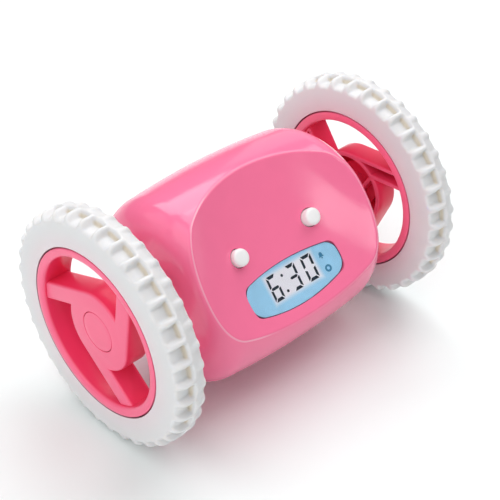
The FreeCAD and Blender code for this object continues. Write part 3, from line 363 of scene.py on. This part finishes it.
# ---- finishes ----
CLOUD_DETAIL = 3.0
GLOSS_SPREAD = 0.15
GRAIN_HEIGHT = 0.1 * MM


def grained(
    name, colour, roughness, mottle=0.03, mottle_scale=160.0, grain=0.05, grain_scale=2600.0, **sockets
):
    """A moulded or rolled finish: faint cloudy colour, uneven gloss and a fine grain."""
    material = bpy.data.materials.new(name)
    material.use_nodes = True
    tree = material.node_tree
    shader = tree.nodes["Principled BSDF"]
    place = object_place(tree)

    cloud = tree.nodes.new("ShaderNodeTexNoise")
    cloud.inputs["Scale"].default_value = mottle_scale
    cloud.inputs["Detail"].default_value = CLOUD_DETAIL
    tree.links.new(place, cloud.inputs["Vector"])
    tint = tree.nodes.new("ShaderNodeMix")
    tint.data_type = "RGBA"
    tint.inputs["A"].default_value = tuple(c * (1 - mottle) for c in colour) + (1.0,)
    tint.inputs["B"].default_value = tuple(min(1.0, c * (1 + mottle)) for c in colour) + (1.0,)
    tree.links.new(cloud.outputs["Fac"], tint.inputs["Factor"])
    tree.links.new(tint.outputs["Result"], shader.inputs["Base Color"])

    sheen = tree.nodes.new("ShaderNodeMapRange")
    sheen.inputs["To Min"].default_value = roughness * (1 - GLOSS_SPREAD)
    sheen.inputs["To Max"].default_value = roughness * (1 + GLOSS_SPREAD)
    tree.links.new(cloud.outputs["Fac"], sheen.inputs["Value"])
    tree.links.new(sheen.outputs["Result"], shader.inputs["Roughness"])

    fine = tree.nodes.new("ShaderNodeTexNoise")
    fine.inputs["Scale"].default_value = grain_scale
    tree.links.new(place, fine.inputs["Vector"])
    bump = tree.nodes.new("ShaderNodeBump")
    bump.inputs["Strength"].default_value = grain
    bump.inputs["Distance"].default_value = GRAIN_HEIGHT
    tree.links.new(fine.outputs["Fac"], bump.inputs["Height"])
    tree.links.new(bump.outputs["Normal"], shader.inputs["Normal"])

    for socket, value in sockets.items():
        shader.inputs[socket.replace("_", " ")].default_value = value
    return material


SHELL_PINK = (0.94, 0.185, 0.345)
# the paler pink of the painted highlight on the dish's lip
LIP_HIGHLIGHT_PINK = (0.96, 0.50, 0.62)
# the lip's painted highlight begins and ends this far below the dish's surface, each over a soft passage
LIP_BEGINS = (0.08, 0.16)
LIP_ENDS = (0.25, 0.6)
# how strongly the highlight is painted all round the lip, and how much more towards its left and right
# ends
EVEN_HIGHLIGHT = 0.12
LEFT_HIGHLIGHT = 0.5
LEFT_END = (-26.0, -16.0)
RIGHT_HIGHLIGHT = 0.3
RIGHT_END = (22.0, 32.0)
# the middle of the face, with the window and the button holes, gets no painted highlight
UNHIGHLIGHTED_MIDDLE = (0, -9)
UNHIGHLIGHTED_HALF_SIZE = (24, 17)
UNHIGHLIGHTED_EDGE = (0.0, 0.6)


def shell_plastic():
    """Glossy pink, with a paler painted highlight along the lip of the dished face, most of all on the
    left.
    """
    material = grained("gloss_pink_shell", SHELL_PINK, 0.14, mottle=0.02, grain=0.01, IOR=1.46)
    tree = material.node_tree
    across, up, below = off_face(tree)
    lip = maths(tree, "SUBTRACT", fading(tree, below, *LIP_ENDS), fading(tree, below, *LIP_BEGINS))
    outer = rising(tree, off_box(tree, across, up, UNHIGHLIGHTED_MIDDLE, UNHIGHLIGHTED_HALF_SIZE), *UNHIGHLIGHTED_EDGE)
    left = product(tree, fading(tree, across, *LEFT_END), LEFT_HIGHLIGHT)
    right = product(tree, rising(tree, across, *RIGHT_END), RIGHT_HIGHLIGHT)
    strength = total(tree, left, right, EVEN_HIGHLIGHT)
    # paints the highlight in along the lip's band
    return toned(material, product(tree, lip, outer, strength), LIP_HIGHLIGHT_PINK)


FILM_BLUE = (0.35, 0.67, 0.93)
LIT_LILAC = (0.88, 0.87, 0.95)
LIT_MIDDLE = (0.3, -15.3)
LIT_HALF_SIZE = (11.3, 4.9)
LIT_EDGE = (-1.0, 1.6)


def display_film():
    """Sky blue with a pale lilac field round the time."""
    material = grained("display_blue_film", FILM_BLUE, 0.3, mottle=0.07, mottle_scale=320.0, grain=0.02)
    tree = material.node_tree
    across, up, _ = off_face(tree)
    lit = fading(tree, off_box(tree, across, up, LIT_MIDDLE, LIT_HALF_SIZE), *LIT_EDGE)
    return toned(material, lit, LIT_LILAC)


MILK_WHITE = (0.72, 0.715, 0.725)
# a dusty beige that also stands for painted shade down in the tread pockets
POCKET_DUST_AND_SHADE = (0.68, 0.61, 0.50)
# a painted pink glow, standing for the hub's light coming through the rubber
PAINTED_HUB_GLOW = (0.84, 0.52, 0.60)
PAINTED_HUB_GLOW_STRENGTH = 0.22
SEAM_SHADE = (0.30, 0.18, 0.22)
# distances off the axle, or off the wheel's middle, over which the tones of the tyre fade out
DUST_AND_SHADE_HEIGHT = (42.4, 43.6)
DUST_AND_SHADE_WIDTH = (0.3, 1.7)
PAINTED_HUB_GLOW_REACH = (32.5, 40.0)
SEAM_REACH = (RIM_R + 0.05, RIM_R + 0.25)
MILKINESS = 0.7
MILK_RADIUS = (1.0, 0.9, 0.8)
MILK_SCALE = 2.0 * MM


def tyre_rubber():
    """Milky rubber: a dusty beige and painted shade in the tread pockets, a painted pink glow from the hub
    near the rim, painted shade at its seam.
    """
    material = grained("milky_tyre_rubber", MILK_WHITE, 0.46, mottle=0.02, grain=0.08)
    tree = material.node_tree
    reach = off_axle(tree)
    # painted shade, tinted like dust, low in the pockets and towards the wheel's middle
    low = fading(tree, reach, *DUST_AND_SHADE_HEIGHT)
    inward = fading(tree, off_wheel_middle(tree), *DUST_AND_SHADE_WIDTH)
    toned(material, product(tree, low, inward), POCKET_DUST_AND_SHADE)
    # paints the pink glow of the hub's light onto the rubber near the rim
    painted_glow = product(tree, fading(tree, reach, *PAINTED_HUB_GLOW_REACH), PAINTED_HUB_GLOW_STRENGTH)
    toned(material, painted_glow, PAINTED_HUB_GLOW)
    toned(material, fading(tree, reach, *SEAM_REACH), SEAM_SHADE)
    shader = tree.nodes["Principled BSDF"]
    shader.inputs["Subsurface Weight"].default_value = MILKINESS
    shader.inputs["Subsurface Radius"].default_value = MILK_RADIUS
    shader.inputs["Subsurface Scale"].default_value = MILK_SCALE
    return material


HUB_PINK = (0.94, 0.155, 0.28)
# painted shade: a deeper red for the hollows of the hub
HOLLOW_SHADE_RED = (0.84, 0.042, 0.125)
# distances off the wheel's middle over which the painted shade fades out, among the arms and on the rim's
# bore
HOLLOW_SHADE_WIDTH = (3.5, 5.0)
BORE_HOLLOW_SHADE_WIDTH = (4.6, 5.9)
BORE_REACH = (RIM_BORE_R - 0.4, RIM_BORE_R - 0.1)


def hub_plastic():
    """Satin pink, with painted shade: a deeper red down in the hollows between the two open faces of the
    hub.
    """
    material = grained("satin_pink_hub", HUB_PINK, 0.3, mottle=0.03, grain=0.05, IOR=1.36)
    tree = material.node_tree
    aside = off_wheel_middle(tree)
    on_bore = rising(tree, off_axle(tree), *BORE_REACH)
    bore_shade = product(tree, on_bore, fading(tree, aside, *BORE_HOLLOW_SHADE_WIDTH))
    # paints shade, a deeper red, among the arms and down the rim's bore
    deep = maths(tree, "MAXIMUM", fading(tree, aside, *HOLLOW_SHADE_WIDTH), bore_shade)
    return toned(material, deep, HOLLOW_SHADE_RED)


# every slot of the record, and four finishes that only the display's modelled pieces wear
FINISHES = {
    "body_plastic": shell_plastic(),
    "hub_plastic": hub_plastic(),
    "tyre_rubber": tyre_rubber(),
    "lcd_film": display_film(),
    "button_plastic": grained("white_button_plastic", (0.88, 0.88, 0.88), 0.3),
    "clear_lens": grained("clear_window", (1.0, 1.0, 1.0), 0.03, Transmission_Weight=1.0, IOR=1.05),
    "lcd_glass": grained("display_blue", (0.28, 0.62, 0.88), 0.25),
    "backlight": grained("backlight_milk", (0.8, 0.9, 0.95), 0.4),
    "silicone": grained("contact_silicone", (0.35, 0.35, 0.36), 0.6),
    "white_plastic": grained("frame_white", (0.8, 0.8, 0.78), 0.4),
    "grey_plastic": grained("works_grey", (0.55, 0.56, 0.58), 0.42),
    "board": grained("circuit_board_green", (0.03, 0.25, 0.1), 0.35),
    "epoxy": grained("black_epoxy", (0.015, 0.015, 0.017), 0.35),
    "steel": grained("bright_steel", (0.62, 0.62, 0.63), 0.28, Metallic=1.0),
    "brass": grained("bush_brass", (0.75, 0.55, 0.25), 0.3, Metallic=1.0),
    "contact": grained("plated_contact", (0.7, 0.69, 0.65), 0.3, Metallic=1.0),
    "cell": grained("cell_sleeve", (0.2, 0.22, 0.25), 0.35),
    "gear_plastic": grained("gear_white", (0.78, 0.78, 0.74), 0.4),
    "can_steel": grained("motor_can_steel", (0.55, 0.55, 0.56), 0.35, Metallic=1.0),
    "magnet": grained("ferrite", (0.03, 0.03, 0.032), 0.6),
    "rotor": grained("rotor_copper", (0.6, 0.3, 0.15), 0.4, Metallic=0.8),
    "speaker": grained("speaker_black", (0.02, 0.02, 0.02), 0.5),
    # a near-black rim round the film that stands for the shadow gap at the window's edge: painted shade
    "shade_rim": grained("window_shade_rim_black", (0.09, 0.05, 0.12), 0.6),
    "lcd_ink": grained("display_ink", (0.004, 0.014, 0.032), 0.4),
    "lcd_faint_ink": grained("display_faint_ink", (0.05, 0.24, 0.44), 0.4),
}


# ---- working by hand in edit mode ----
SAME_CORNER = 0.001 * MM
DOUBLE = 0.002 * MM
SAME_LEVEL = 0.01 * MM


def pick(piece, kind, test):
    """Selects the vertices or edges of the open piece that pass a test by their place."""
    bpy.ops.mesh.select_mode(type={"verts": "VERT", "edges": "EDGE"}[kind])
    bpy.ops.mesh.select_all(action="DESELECT")
    mesh = bmesh.from_edit_mesh(piece.data)
    for element in getattr(mesh, kind):
        element.select_set(bool(test(element)))
    mesh.select_flush_mode()
    bmesh.update_edit_mesh(piece.data)


def pull_out(way):
    """Extrudes what is selected along a way in metres."""
    bpy.ops.mesh.extrude_region_move(TRANSFORM_OT_translate={"value": way})


def drawn(name, points):
    """A closed line drawn corner by corner from one vertex; it stays open in edit mode, selected."""
    bpy.ops.object.select_all(action="DESELECT")
    bpy.ops.mesh.primitive_plane_add(size=MM)
    piece = bpy.context.object
    piece.name = piece.data.name = name
    bpy.ops.object.mode_set(mode="EDIT")
    bpy.ops.mesh.select_all(action="SELECT")
    bpy.ops.mesh.merge(type="CENTER")
    bpy.ops.transform.translate(value=points[0])
    for here, there in zip(points, points[1:]):
        pull_out(Vector(there) - Vector(here))
    ends = (Vector(points[0]), Vector(points[-1]))
    pick(piece, "verts", lambda v: min((v.co - end).length for end in ends) < SAME_CORNER)
    bpy.ops.mesh.edge_face_add()
    bpy.ops.mesh.select_all(action="SELECT")
    return piece


def close_up(piece, smooth_angle=30.0):
    """Merges doubles, turns the faces outwards, leaves edit mode and shades the piece."""
    bpy.ops.mesh.select_mode(type="VERT")
    bpy.ops.mesh.select_all(action="SELECT")
    bpy.ops.mesh.remove_doubles(threshold=DOUBLE)
    bpy.ops.mesh.normals_make_consistent(inside=False)
    bpy.ops.object.mode_set(mode="OBJECT")
    bpy.ops.object.shade_smooth_by_angle(angle=math.radians(smooth_angle))
    return piece


def turned(name, outline, steps=96):
    """A closed outline of (radius, height) corners in mm, turned round the z axis."""
    piece = drawn(name, [Vector((radius, 0, height)) * MM for radius, height in outline])
    bpy.ops.mesh.spin(steps=steps, angle=2 * math.pi, center=(0, 0, 0), axis=(0, 0, 1))
    return close_up(piece)


def taken_up(piece):
    """Makes the piece the only one selected, and the active one."""
    bpy.ops.object.select_all(action="DESELECT")
    piece.select_set(True)
    bpy.context.view_layer.objects.active = piece


def modified(piece, kind, **settings):
    """Adds a modifier, sets it and applies it."""
    taken_up(piece)
    bpy.ops.object.modifier_add(type=kind)
    modifier = piece.modifiers[-1]
    for setting, value in settings.items():
        setattr(modifier, setting, value)
    bpy.ops.object.modifier_apply(modifier=modifier.name)
    return piece


def combined(piece, other, operation):
    """One solid out of two; the other is used up."""
    modified(piece, "BOOLEAN", object=other, operation=operation, solver="EXACT")
    bpy.data.objects.remove(other)
    return piece


def copied(piece, name):
    """A twin of the piece with a mesh of its own."""
    twin = piece.copy()
    twin.data = piece.data.copy()
    twin.name = twin.data.name = name
    bpy.context.scene.collection.objects.link(twin)
    return twin


def joined(pieces, name):
    """Several loose solids as one piece."""
    taken_up(pieces[0])
    for piece in pieces[1:]:
        piece.select_set(True)
    bpy.ops.object.join()
    pieces[0].name = pieces[0].data.name = name
    return pieces[0]


def set_down(piece, place):
    """Puts the piece where it belongs and bakes that place into its mesh."""
    taken_up(piece)
    piece.matrix_world = place
    bpy.ops.object.transform_apply(location=True, rotation=True, scale=True)
    return piece


def worn_by(piece, body, finish, *nodes):
    """The piece gets its finish, rides on its body and stands for its CAD nodes."""
    piece.data.materials.clear()
    piece.data.materials.append(FINISHES[finish])
    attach(piece, body)
    if nodes:
        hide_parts(*nodes)
    return piece


# ---- tyres, modelled lying flat with z pointing outwards, as seen from outside ----
# the section runs from the rim's outer edge round to its inner one, and is softened by subdivision;
# a wall has its radius and height, a row of lugs its height, radius over a lug and radius in a pocket
OUTER_WALL = [
    (RIM_R, 66.0),
    (RIM_R, 67.75),
    (32.2, 67.97),
    (32.9, OUTER_FACE),
    (36.5, OUTER_FACE),
    (39.2, 67.93),
    (40.5, 67.85),
]
OUTER_ROW = [
    (67.8, 41.7, 41.1),
    (67.5, 42.8, 41.5),
    (66.9, 43.6, 41.85),
    (65.9, 44.2, 42.1),
    (64.9, 44.45, 42.2),
    (63.9, 44.5, 42.1),
    (62.8, 44.5, 41.9),
    (61.9, 44.5, 41.7),
    (61.5, 44.5, 43.8),
]
MIDDLE_RIDGE = [(44.4, 61.0)]
INNER_ROW = [
    (60.5, 44.45, 44.2),
    (59.6, 44.5, 44.05),
    (58.5, 44.45, 43.75),
    (57.4, 44.15, 43.15),
    (56.5, 43.6, 42.5),
    (55.9, 42.8, 41.85),
    (55.5, 41.7, 41.3),
]
INNER_WALL = [
    (40.5, 55.4),
    (39.4, 55.3),
    (36.5, INNER_FACE),
    (32.9, INNER_FACE),
    (32.2, 55.23),
    (RIM_R, 55.45),
    (RIM_R, 57.2),
    (RIM_R, WHEEL_MIDDLE),
]


def over_lugs(row):
    """The section of a row of lugs over a lug, as radius and height."""
    return [(lug, height) for height, lug, _ in row]


def tread_column(vertex):
    """Which column of its lug a vertex of the tread lies in."""
    turn = math.degrees(math.atan2(vertex.co.y, vertex.co.x)) / 360.0
    return round(turn * TREAD_COLUMNS) % COLUMNS_PER_LUG


def press_pockets(piece, row, lug_column):
    """Presses a row of lugs in, level by level, everywhere but on the three columns of each lug."""
    on_lug = {(lug_column + step) % COLUMNS_PER_LUG for step in (-1, 0, 1)}
    for height, lug, pocket in row:
        level = height * MM
        pick(piece, "verts", lambda v: abs(v.co.z - level) < SAME_LEVEL and tread_column(v) not in on_lug)
        shrink = pocket / lug
        bpy.ops.transform.resize(value=(shrink, shrink, 1), center_override=(0, 0, 0))


def tyre():
    """A tyre turned at lug height, its deep outer and shallow inner pockets pressed in, then softened."""
    section = OUTER_WALL + over_lugs(OUTER_ROW) + MIDDLE_RIDGE + over_lugs(INNER_ROW) + INNER_WALL
    piece = turned("tyre", section, TREAD_COLUMNS)
    bpy.ops.object.mode_set(mode="EDIT")
    press_pockets(piece, OUTER_ROW, OUTER_LUG_COLUMN)
    press_pockets(piece, INNER_ROW, INNER_LUG_COLUMN)
    close_up(piece, 180.0)
    return modified(piece, "SUBSURF", levels=1, render_levels=1)


# ---- hubs, modelled lying as the tyres do; outlines of radius and height ----
RIM_STEPS = 160
DISC_STEPS = 14
RIM_OUTLINE = [
    (RIM_R, 57.4), (RIM_R, 61.0), (RIM_R, 65.8), (31.68, 66.0), (31.65, 67.6), (31.5, 67.9),
    (31.1, OUTER_FACE), (30.2, OUTER_FACE), (29.4, 67.93), (28.85, 67.7), (28.5, 67.3), (RIM_BORE_R, 66.8),
    (RIM_BORE_R, 62.0), (RIM_BORE_R, 56.2), (28.5, 55.6), (29.0, 55.25), (30.2, INNER_FACE),
    (31.1, INNER_FACE), (31.5, 55.3), (31.65, 55.6), (31.68, 57.2),
]
RING_OUTLINE = [
    (RING_R, 57.2), (RING_R, 65.4), (RING_BORE_R, 65.4), (RING_BORE_R, 57.3), (13.5, HUB_BACK),
    (14.5, HUB_BACK),
]
BOSS_OUTLINE = [
    (BOSS_BORE_R, 51.4), (4.2, 51.4), (BOSS_R, 51.8), (BOSS_R, 62.2), (9.0, 62.2), (9.0, 65.6),
    (BOSS_BORE_R, 65.6),
]
# what is cut away for the axle, its screw and the cap
CAP_SEAT_R = CAP_R + CAP_CLEARANCE
SEAT_OUTLINE = [
    (0.0, 50.0), (AXLE_R, 50.0), (AXLE_R, AXLE_END), (SCREW_R, AXLE_END), (SCREW_R, CAP_BACK),
    (CAP_SEAT_R, CAP_BACK), (CAP_SEAT_R, 66.2), (7.9, 66.6), (7.9, 69.0), (0.0, 69.0),
]
CAP_OUTLINE = [
    (0.0, 66.35), (5.0, 66.38), (7.0, HUB_FACE), (7.3, 66.33), (CAP_R, 66.1), (CAP_R, CAP_BACK),
    (6.3, CAP_BACK), (6.3, 65.2), (0.0, 65.2),
]


def pinwheel_outline():
    """The disc and its arms, each with one side tangent to the disc."""
    points = []
    near_side = ARM_WIDTH - DISC_R
    leaves_arm = -math.asin((DISC_R - ARM_WIDTH) / DISC_R)
    meets_next_arm = math.radians(360.0 / ARM_COUNT - 90.0)
    for k in range(ARM_COUNT):
        corners = [
            (math.sqrt(ARM_REACH**2 - DISC_R**2), -DISC_R),
            (math.sqrt(ARM_REACH**2 - near_side**2), near_side),
        ]
        for step in range(DISC_STEPS + 1):
            angle = leaves_arm + (meets_next_arm - leaves_arm) * step / DISC_STEPS
            corners.append((DISC_R * math.cos(angle), DISC_R * math.sin(angle)))
        for x, y in corners:
            corner = Vector((x, y, 0))
            corner.rotate(Matrix.Rotation(math.radians(360.0 / ARM_COUNT * k), 3, "Z"))
            points.append((corner + Vector((0, 0, HUB_FACE))) * MM)
    return points


def round_level(piece, height, size, segments):
    """Rounds the edges that lie at a height."""
    level = height * MM
    pick(piece, "edges", lambda e: all(abs(v.co.z - level) < SAME_LEVEL for v in e.verts))
    bpy.ops.mesh.bevel(offset=size * MM, segments=segments, profile=0.5)


def pinwheel():
    """The face plate with its arms: pulled back into a deep tray, hollowed, its edges rounded."""
    piece = drawn("pinwheel", pinwheel_outline())
    bpy.ops.mesh.edge_face_add()
    pull_out((0, 0, (HUB_BACK - HUB_FACE) * MM))
    bpy.ops.mesh.inset(thickness=TRAY_WALL * MM)
    pull_out((0, 0, (HUB_FACE - PLATE - HUB_BACK) * MM))
    round_level(piece, HUB_FACE, FRONT_ROUND, 4)
    round_level(piece, HUB_BACK, BACK_ROUND, 2)
    return close_up(piece)


def hub_rib(turn):
    """A thin rib that stiffens the back of the disc."""
    bpy.ops.object.select_all(action="DESELECT")
    bpy.ops.mesh.primitive_cube_add(size=1)
    rib = bpy.context.object
    bpy.ops.object.mode_set(mode="EDIT")
    bpy.ops.mesh.select_all(action="SELECT")
    bpy.ops.transform.resize(value=[size * MM for size in RIB_SIZE])
    bpy.ops.transform.translate(value=[distance * MM for distance in RIB_MIDDLE])
    bpy.ops.mesh.bevel(offset=RIB_ROUND * MM, segments=2)
    bpy.ops.object.mode_set(mode="OBJECT")
    return set_down(rib, Matrix.Rotation(math.radians(turn), 4, "Z"))


def hub():
    """Rim, pinwheel, ring, ribs and boss as one moulding, with the seat for the cap cut in."""
    moulding = turned("rim", RIM_OUTLINE, RIM_STEPS)
    moulding = combined(moulding, pinwheel(), "UNION")
    moulding = combined(moulding, turned("ring", RING_OUTLINE), "UNION")
    for rib in [hub_rib(360 / ARM_COUNT * k + RIB_TURN) for k in range(ARM_COUNT)]:
        moulding = combined(moulding, rib, "UNION")
    moulding = combined(moulding, turned("boss", BOSS_OUTLINE), "UNION")
    moulding = combined(moulding, turned("seat", SEAT_OUTLINE), "DIFFERENCE")
    bpy.ops.object.mode_set(mode="EDIT")
    return close_up(moulding)


# ---- wheels ----
LEFT_PLACE = Matrix(((0, 0, -1, 0), (-1, 0, 0, 0), (0, 1, 0, AXLE_HEIGHT), (0, 0, 0, 1)))
RIGHT_PLACE = Matrix(((0, 0, 1, 0), (1, 0, 0, 0), (0, 1, 0, AXLE_HEIGHT), (0, 0, 0, 1)))
AS_MODELLED = Matrix()
TURNED_OVER = Matrix.Translation((0, 0, 2 * WHEEL_MIDDLE * MM)) @ Matrix.Rotation(math.pi, 4, "X")
# side, place, how far the arms are turned, and how the tyre lies: both are pressed on the same way round
WHEELS = [
    ("left", LEFT_PLACE, LEFT_ARM_TURN, AS_MODELLED),
    ("right", RIGHT_PLACE, RIGHT_ARM_TURN, TURNED_OVER),
]


def add_wheels():
    """Tyre, hub and cap modelled once, then copied to both sides."""
    rubber = tyre()
    moulding = hub()
    cap = turned("hub_cap", CAP_OUTLINE)
    for side, place, arm_turn, lay in WHEELS:
        body = side + "_wheel"
        turn = Matrix.Rotation(math.radians(arm_turn), 4, "Z")
        worn = copied(rubber, side + "_tyre_tread")
        worn_by(set_down(worn, place @ lay), body, "tyre_rubber", side + "_tyre")
        cast = copied(moulding, side + "_hub_moulding")
        worn_by(set_down(cast, place @ turn), body, "hub_plastic", side + "_wheel_hub")
        lid = copied(cap, side + "_cap_disc")
        worn_by(set_down(lid, place), body, "hub_plastic", side + "_hub_cap")
    for pattern in (rubber, moulding, cap):
        bpy.data.objects.remove(pattern)


# ---- the display's window, film, and a dark rim of painted shade round the film ----
STEPS_ACROSS = 20
STEPS_UP = 6
CORNER_STEPS = 7
CORNER_PULL = 0.55
GRID_SPAN = 15


def rounded_corner(start, corner, end):
    """The points between start and end of a smooth curve pulled towards the corner."""
    first = start.lerp(corner, CORNER_PULL)
    second = end.lerp(corner, CORNER_PULL)
    points = []
    for step in range(1, CORNER_STEPS):
        t = step / CORNER_STEPS
        early, late = start.lerp(first, t), second.lerp(end, t)
        between = first.lerp(second, t)
        points.append(early.lerp(between, t).lerp(between.lerp(late, t), t))
    return points


def window_outline(grow):
    """Four bowed sides with rounded corners, in mm across and up the face."""
    side = WINDOW_SIDE + grow
    top = WINDOW_TOP + grow
    bottom = WINDOW_BOTTOM - grow
    corner = WINDOW_CORNER + grow
    middle = (top + bottom) / 2
    span = side - corner
    reach = top - corner - middle

    def along_top(x):
        return Vector((x, top + TOP_BOW * (1 - (x / side) ** 2)))

    def along_bottom(x):
        return Vector((x, bottom - BOTTOM_BOW * (1 - (x / side) ** 2)))

    def along_side(v, sign):
        return Vector((sign * (side + SIDE_BOW * (1 - ((v - middle) / (top - middle)) ** 2)), v))

    across = [1 - 2 * k / STEPS_ACROSS for k in range(STEPS_ACROSS + 1)]
    upright = [1 - 2 * k / STEPS_UP for k in range(STEPS_UP + 1)]
    sides = [
        [along_top(-span * share) for share in across],
        [along_side(middle + reach * share, 1) for share in upright],
        [along_bottom(span * share) for share in across],
        [along_side(middle - reach * share, -1) for share in upright],
    ]
    corners = [Vector((side, top)), Vector((side, bottom)), Vector((-side, bottom)), Vector((-side, top))]
    points = []
    for k, line in enumerate(sides):
        points += line
        points += rounded_corner(line[-1], corners[k], sides[(k + 1) % len(sides)][0])
    return points


def curved_pane(name, grow, front, back, edge=0.0):
    """A pane cut to the window's outline and bent to the dished face, from front to back below it."""
    piece = drawn(name, [Vector((p.x, p.y, 0)) * MM for p in window_outline(grow)])
    bpy.ops.mesh.fill_grid(span=GRID_SPAN)
    mesh = bmesh.from_edit_mesh(piece.data)
    for vertex in mesh.verts:
        vertex.co.z = dish(vertex.co.x / MM, vertex.co.y / MM, front) * MM
    bmesh.update_edit_mesh(piece.data)
    close_up(piece)
    if piece.data.polygons[0].normal.z < 0:
        piece.data.flip_normals()
    modified(piece, "SOLIDIFY", thickness=(back - front) * MM, offset=-1.0)
    if edge:
        sharp = math.radians(50)
        modified(piece, "BEVEL", width=edge * MM, segments=2, limit_method="ANGLE", angle_limit=sharp)
    bpy.ops.object.shade_smooth_by_angle(angle=math.radians(35))
    return set_down(piece, FACE_PLACE)


# ---- what the display shows ----
def seven_segments(width):
    """The corners of each bar of a digit, from its lower left corner."""
    half = DIGIT_HEIGHT / 2
    gap = CORNER_GAP
    thick = UPRIGHT_STROKE
    low = {
        "low": [(gap, 0), (width - gap, 0), (width - gap - MITRE, STROKE), (gap + MITRE, STROKE)],
        "low_left": [(0, gap), (thick, gap + thick), (thick, half - MIDDLE_MITRE), (0, half - MIDDLE_GAP)],
        "low_right": [
            (width, gap),
            (width, half - MIDDLE_GAP),
            (width - thick, half - MIDDLE_MITRE),
            (width - thick, gap + thick),
        ],
    }
    bars = dict(low)
    for name, corners in low.items():
        bars[name.replace("low", "high")] = [(x, DIGIT_HEIGHT - v) for x, v in reversed(corners)]
    shoulder = MIDDLE_TIP + MIDDLE_HALF_STROKE
    bars["middle"] = [
        (MIDDLE_TIP, half),
        (shoulder, half - MIDDLE_HALF_STROKE),
        (width - shoulder, half - MIDDLE_HALF_STROKE),
        (width - MIDDLE_TIP, half),
        (width - shoulder, half + MIDDLE_HALF_STROKE),
        (shoulder, half + MIDDLE_HALF_STROKE),
    ]
    return bars


DIGITS = {
    "6": "high high_left middle low_left low_right low",
    "3": "high high_right middle low_right low",
    "0": "high high_left high_right low_left low_right low",
}
BELL = [
    (-1.1, -0.8), (1.1, -0.8), (0.75, -0.35), (0.65, 0.5), (0.3, 0.95), (-0.3, 0.95), (-0.65, 0.5),
    (-0.75, -0.35),
]


def laid_on_face(piece):
    """Lifts flat print onto the curve of the display's front."""
    for vertex in piece.data.vertices:
        vertex.co.z += dish(vertex.co.x / MM, vertex.co.y / MM, INK_FRONT + INK_THICKNESS) * MM
    return piece


def printed(name, corners):
    """A thin plate of ink standing just off the display's front."""
    piece = drawn(name, [Vector((x, v, 0)) * MM for x, v in corners])
    bpy.ops.mesh.edge_face_add()
    pull_out((0, 0, INK_THICKNESS * MM))
    return laid_on_face(close_up(piece))


def round_spot(x, v, radius, count=16):
    """The corners of a round dot on the face."""
    turns = [2 * math.pi * k / count for k in range(count)]
    return [(x + radius * math.cos(turn), v + radius * math.sin(turn)) for turn in turns]


def time_readout():
    """The digits and the colon, leaning a little to the right."""
    bars = []
    bottom = DIGIT_TOP - DIGIT_HEIGHT
    for digit, left, width in READOUT:
        shapes = seven_segments(width)
        for bar in DIGITS[digit].split():
            leaning = [(x + DIGIT_SLANT * (v / DIGIT_HEIGHT - 0.5), v) for x, v in shapes[bar]]
            bars.append(printed("bar", [(left + x, bottom + v) for x, v in leaning]))
    for x, v in COLON:
        bars.append(printed("dot", round_spot(x, v, COLON_R)))
    return set_down(joined(bars, "time_readout"), FACE_PLACE)


def alarm_signs():
    """A small bell and a ring beside the time."""
    bell = printed("bell", [(BELL_PLACE[0] + x, BELL_PLACE[1] + v) for x, v in BELL])
    clapper = printed("clapper", round_spot(*CLAPPER_PLACE, CLAPPER_R, 10))
    outer, inner, top = SIGN_RING_R, SIGN_RING_BORE_R, INK_THICKNESS
    ring = turned("ring", [(inner, 0.0), (outer, 0.0), (outer, top), (inner, top)], 24)
    laid_on_face(set_down(ring, Matrix.Translation(Vector((*SIGN_RING_PLACE, 0)) * MM)))
    return set_down(joined([bell, clapper, ring], "alarm_signs"), FACE_PLACE)


def add_display():
    pane = curved_pane("window_pane", grow=-0.12, front=0.16, back=0.38, edge=0.08)
    worn_by(pane, "chassis", "clear_lens", "lcd_lens")
    film = curved_pane("display_film", grow=-0.22, front=0.46, back=1.25, edge=0.05)
    worn_by(film, "chassis", "lcd_film")
    # painted shade: a dark rim between the window's edge and the film, in place of the shadow gap there
    shade_rim = curved_pane("window_shade_rim", grow=-0.03, front=0.40, back=1.29, edge=0.03)
    hole = curved_pane("window_hole", grow=-0.24, front=0.30, back=1.50)
    worn_by(combined(shade_rim, hole, "DIFFERENCE"), "chassis", "shade_rim")
    worn_by(time_readout(), "chassis", "lcd_ink")
    worn_by(alarm_signs(), "chassis", "lcd_faint_ink")


# ---- buttons: a stem through the face on a flange behind it, with a softly crowned top ----
BUTTON_STEPS = 64
BUTTON_OUTLINE = [
    (0.0, 25.30), (1.5, 25.28), (2.3, 25.20), (2.75, 25.02), (3.05, 24.72), (3.18, 24.3), (BUTTON_R, 23.8),
    (BUTTON_R, 19.0), (BUTTON_FLANGE_R, 19.0), (BUTTON_FLANGE_R, 18.0), (BUTTON_FOOT_R, 18.0),
    (BUTTON_FOOT_R, 17.5), (0.0, 17.5),
]


def add_buttons():
    for side, (x, v) in BUTTON_PLACES.items():
        knob = turned(side + "_button_knob", BUTTON_OUTLINE, BUTTON_STEPS)
        set_down(knob, FACE_PLACE @ Matrix.Translation(Vector((x, v, 0)) * MM))
        worn_by(knob, side + "_button", "button_plastic", side + "_button")


def dress_nodes():
    """Gives every CAD node the finish that its record slot names."""
    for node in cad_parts.values():
        slots = node.data.materials
        for k, worn in enumerate(slots):
            slots[k] = FINISHES[worn.name]


add_camera()
add_studio()
dress_nodes()
add_wheels()
add_display()
add_buttons()

bpy.context.scene.view_settings.view_transform = "Standard"
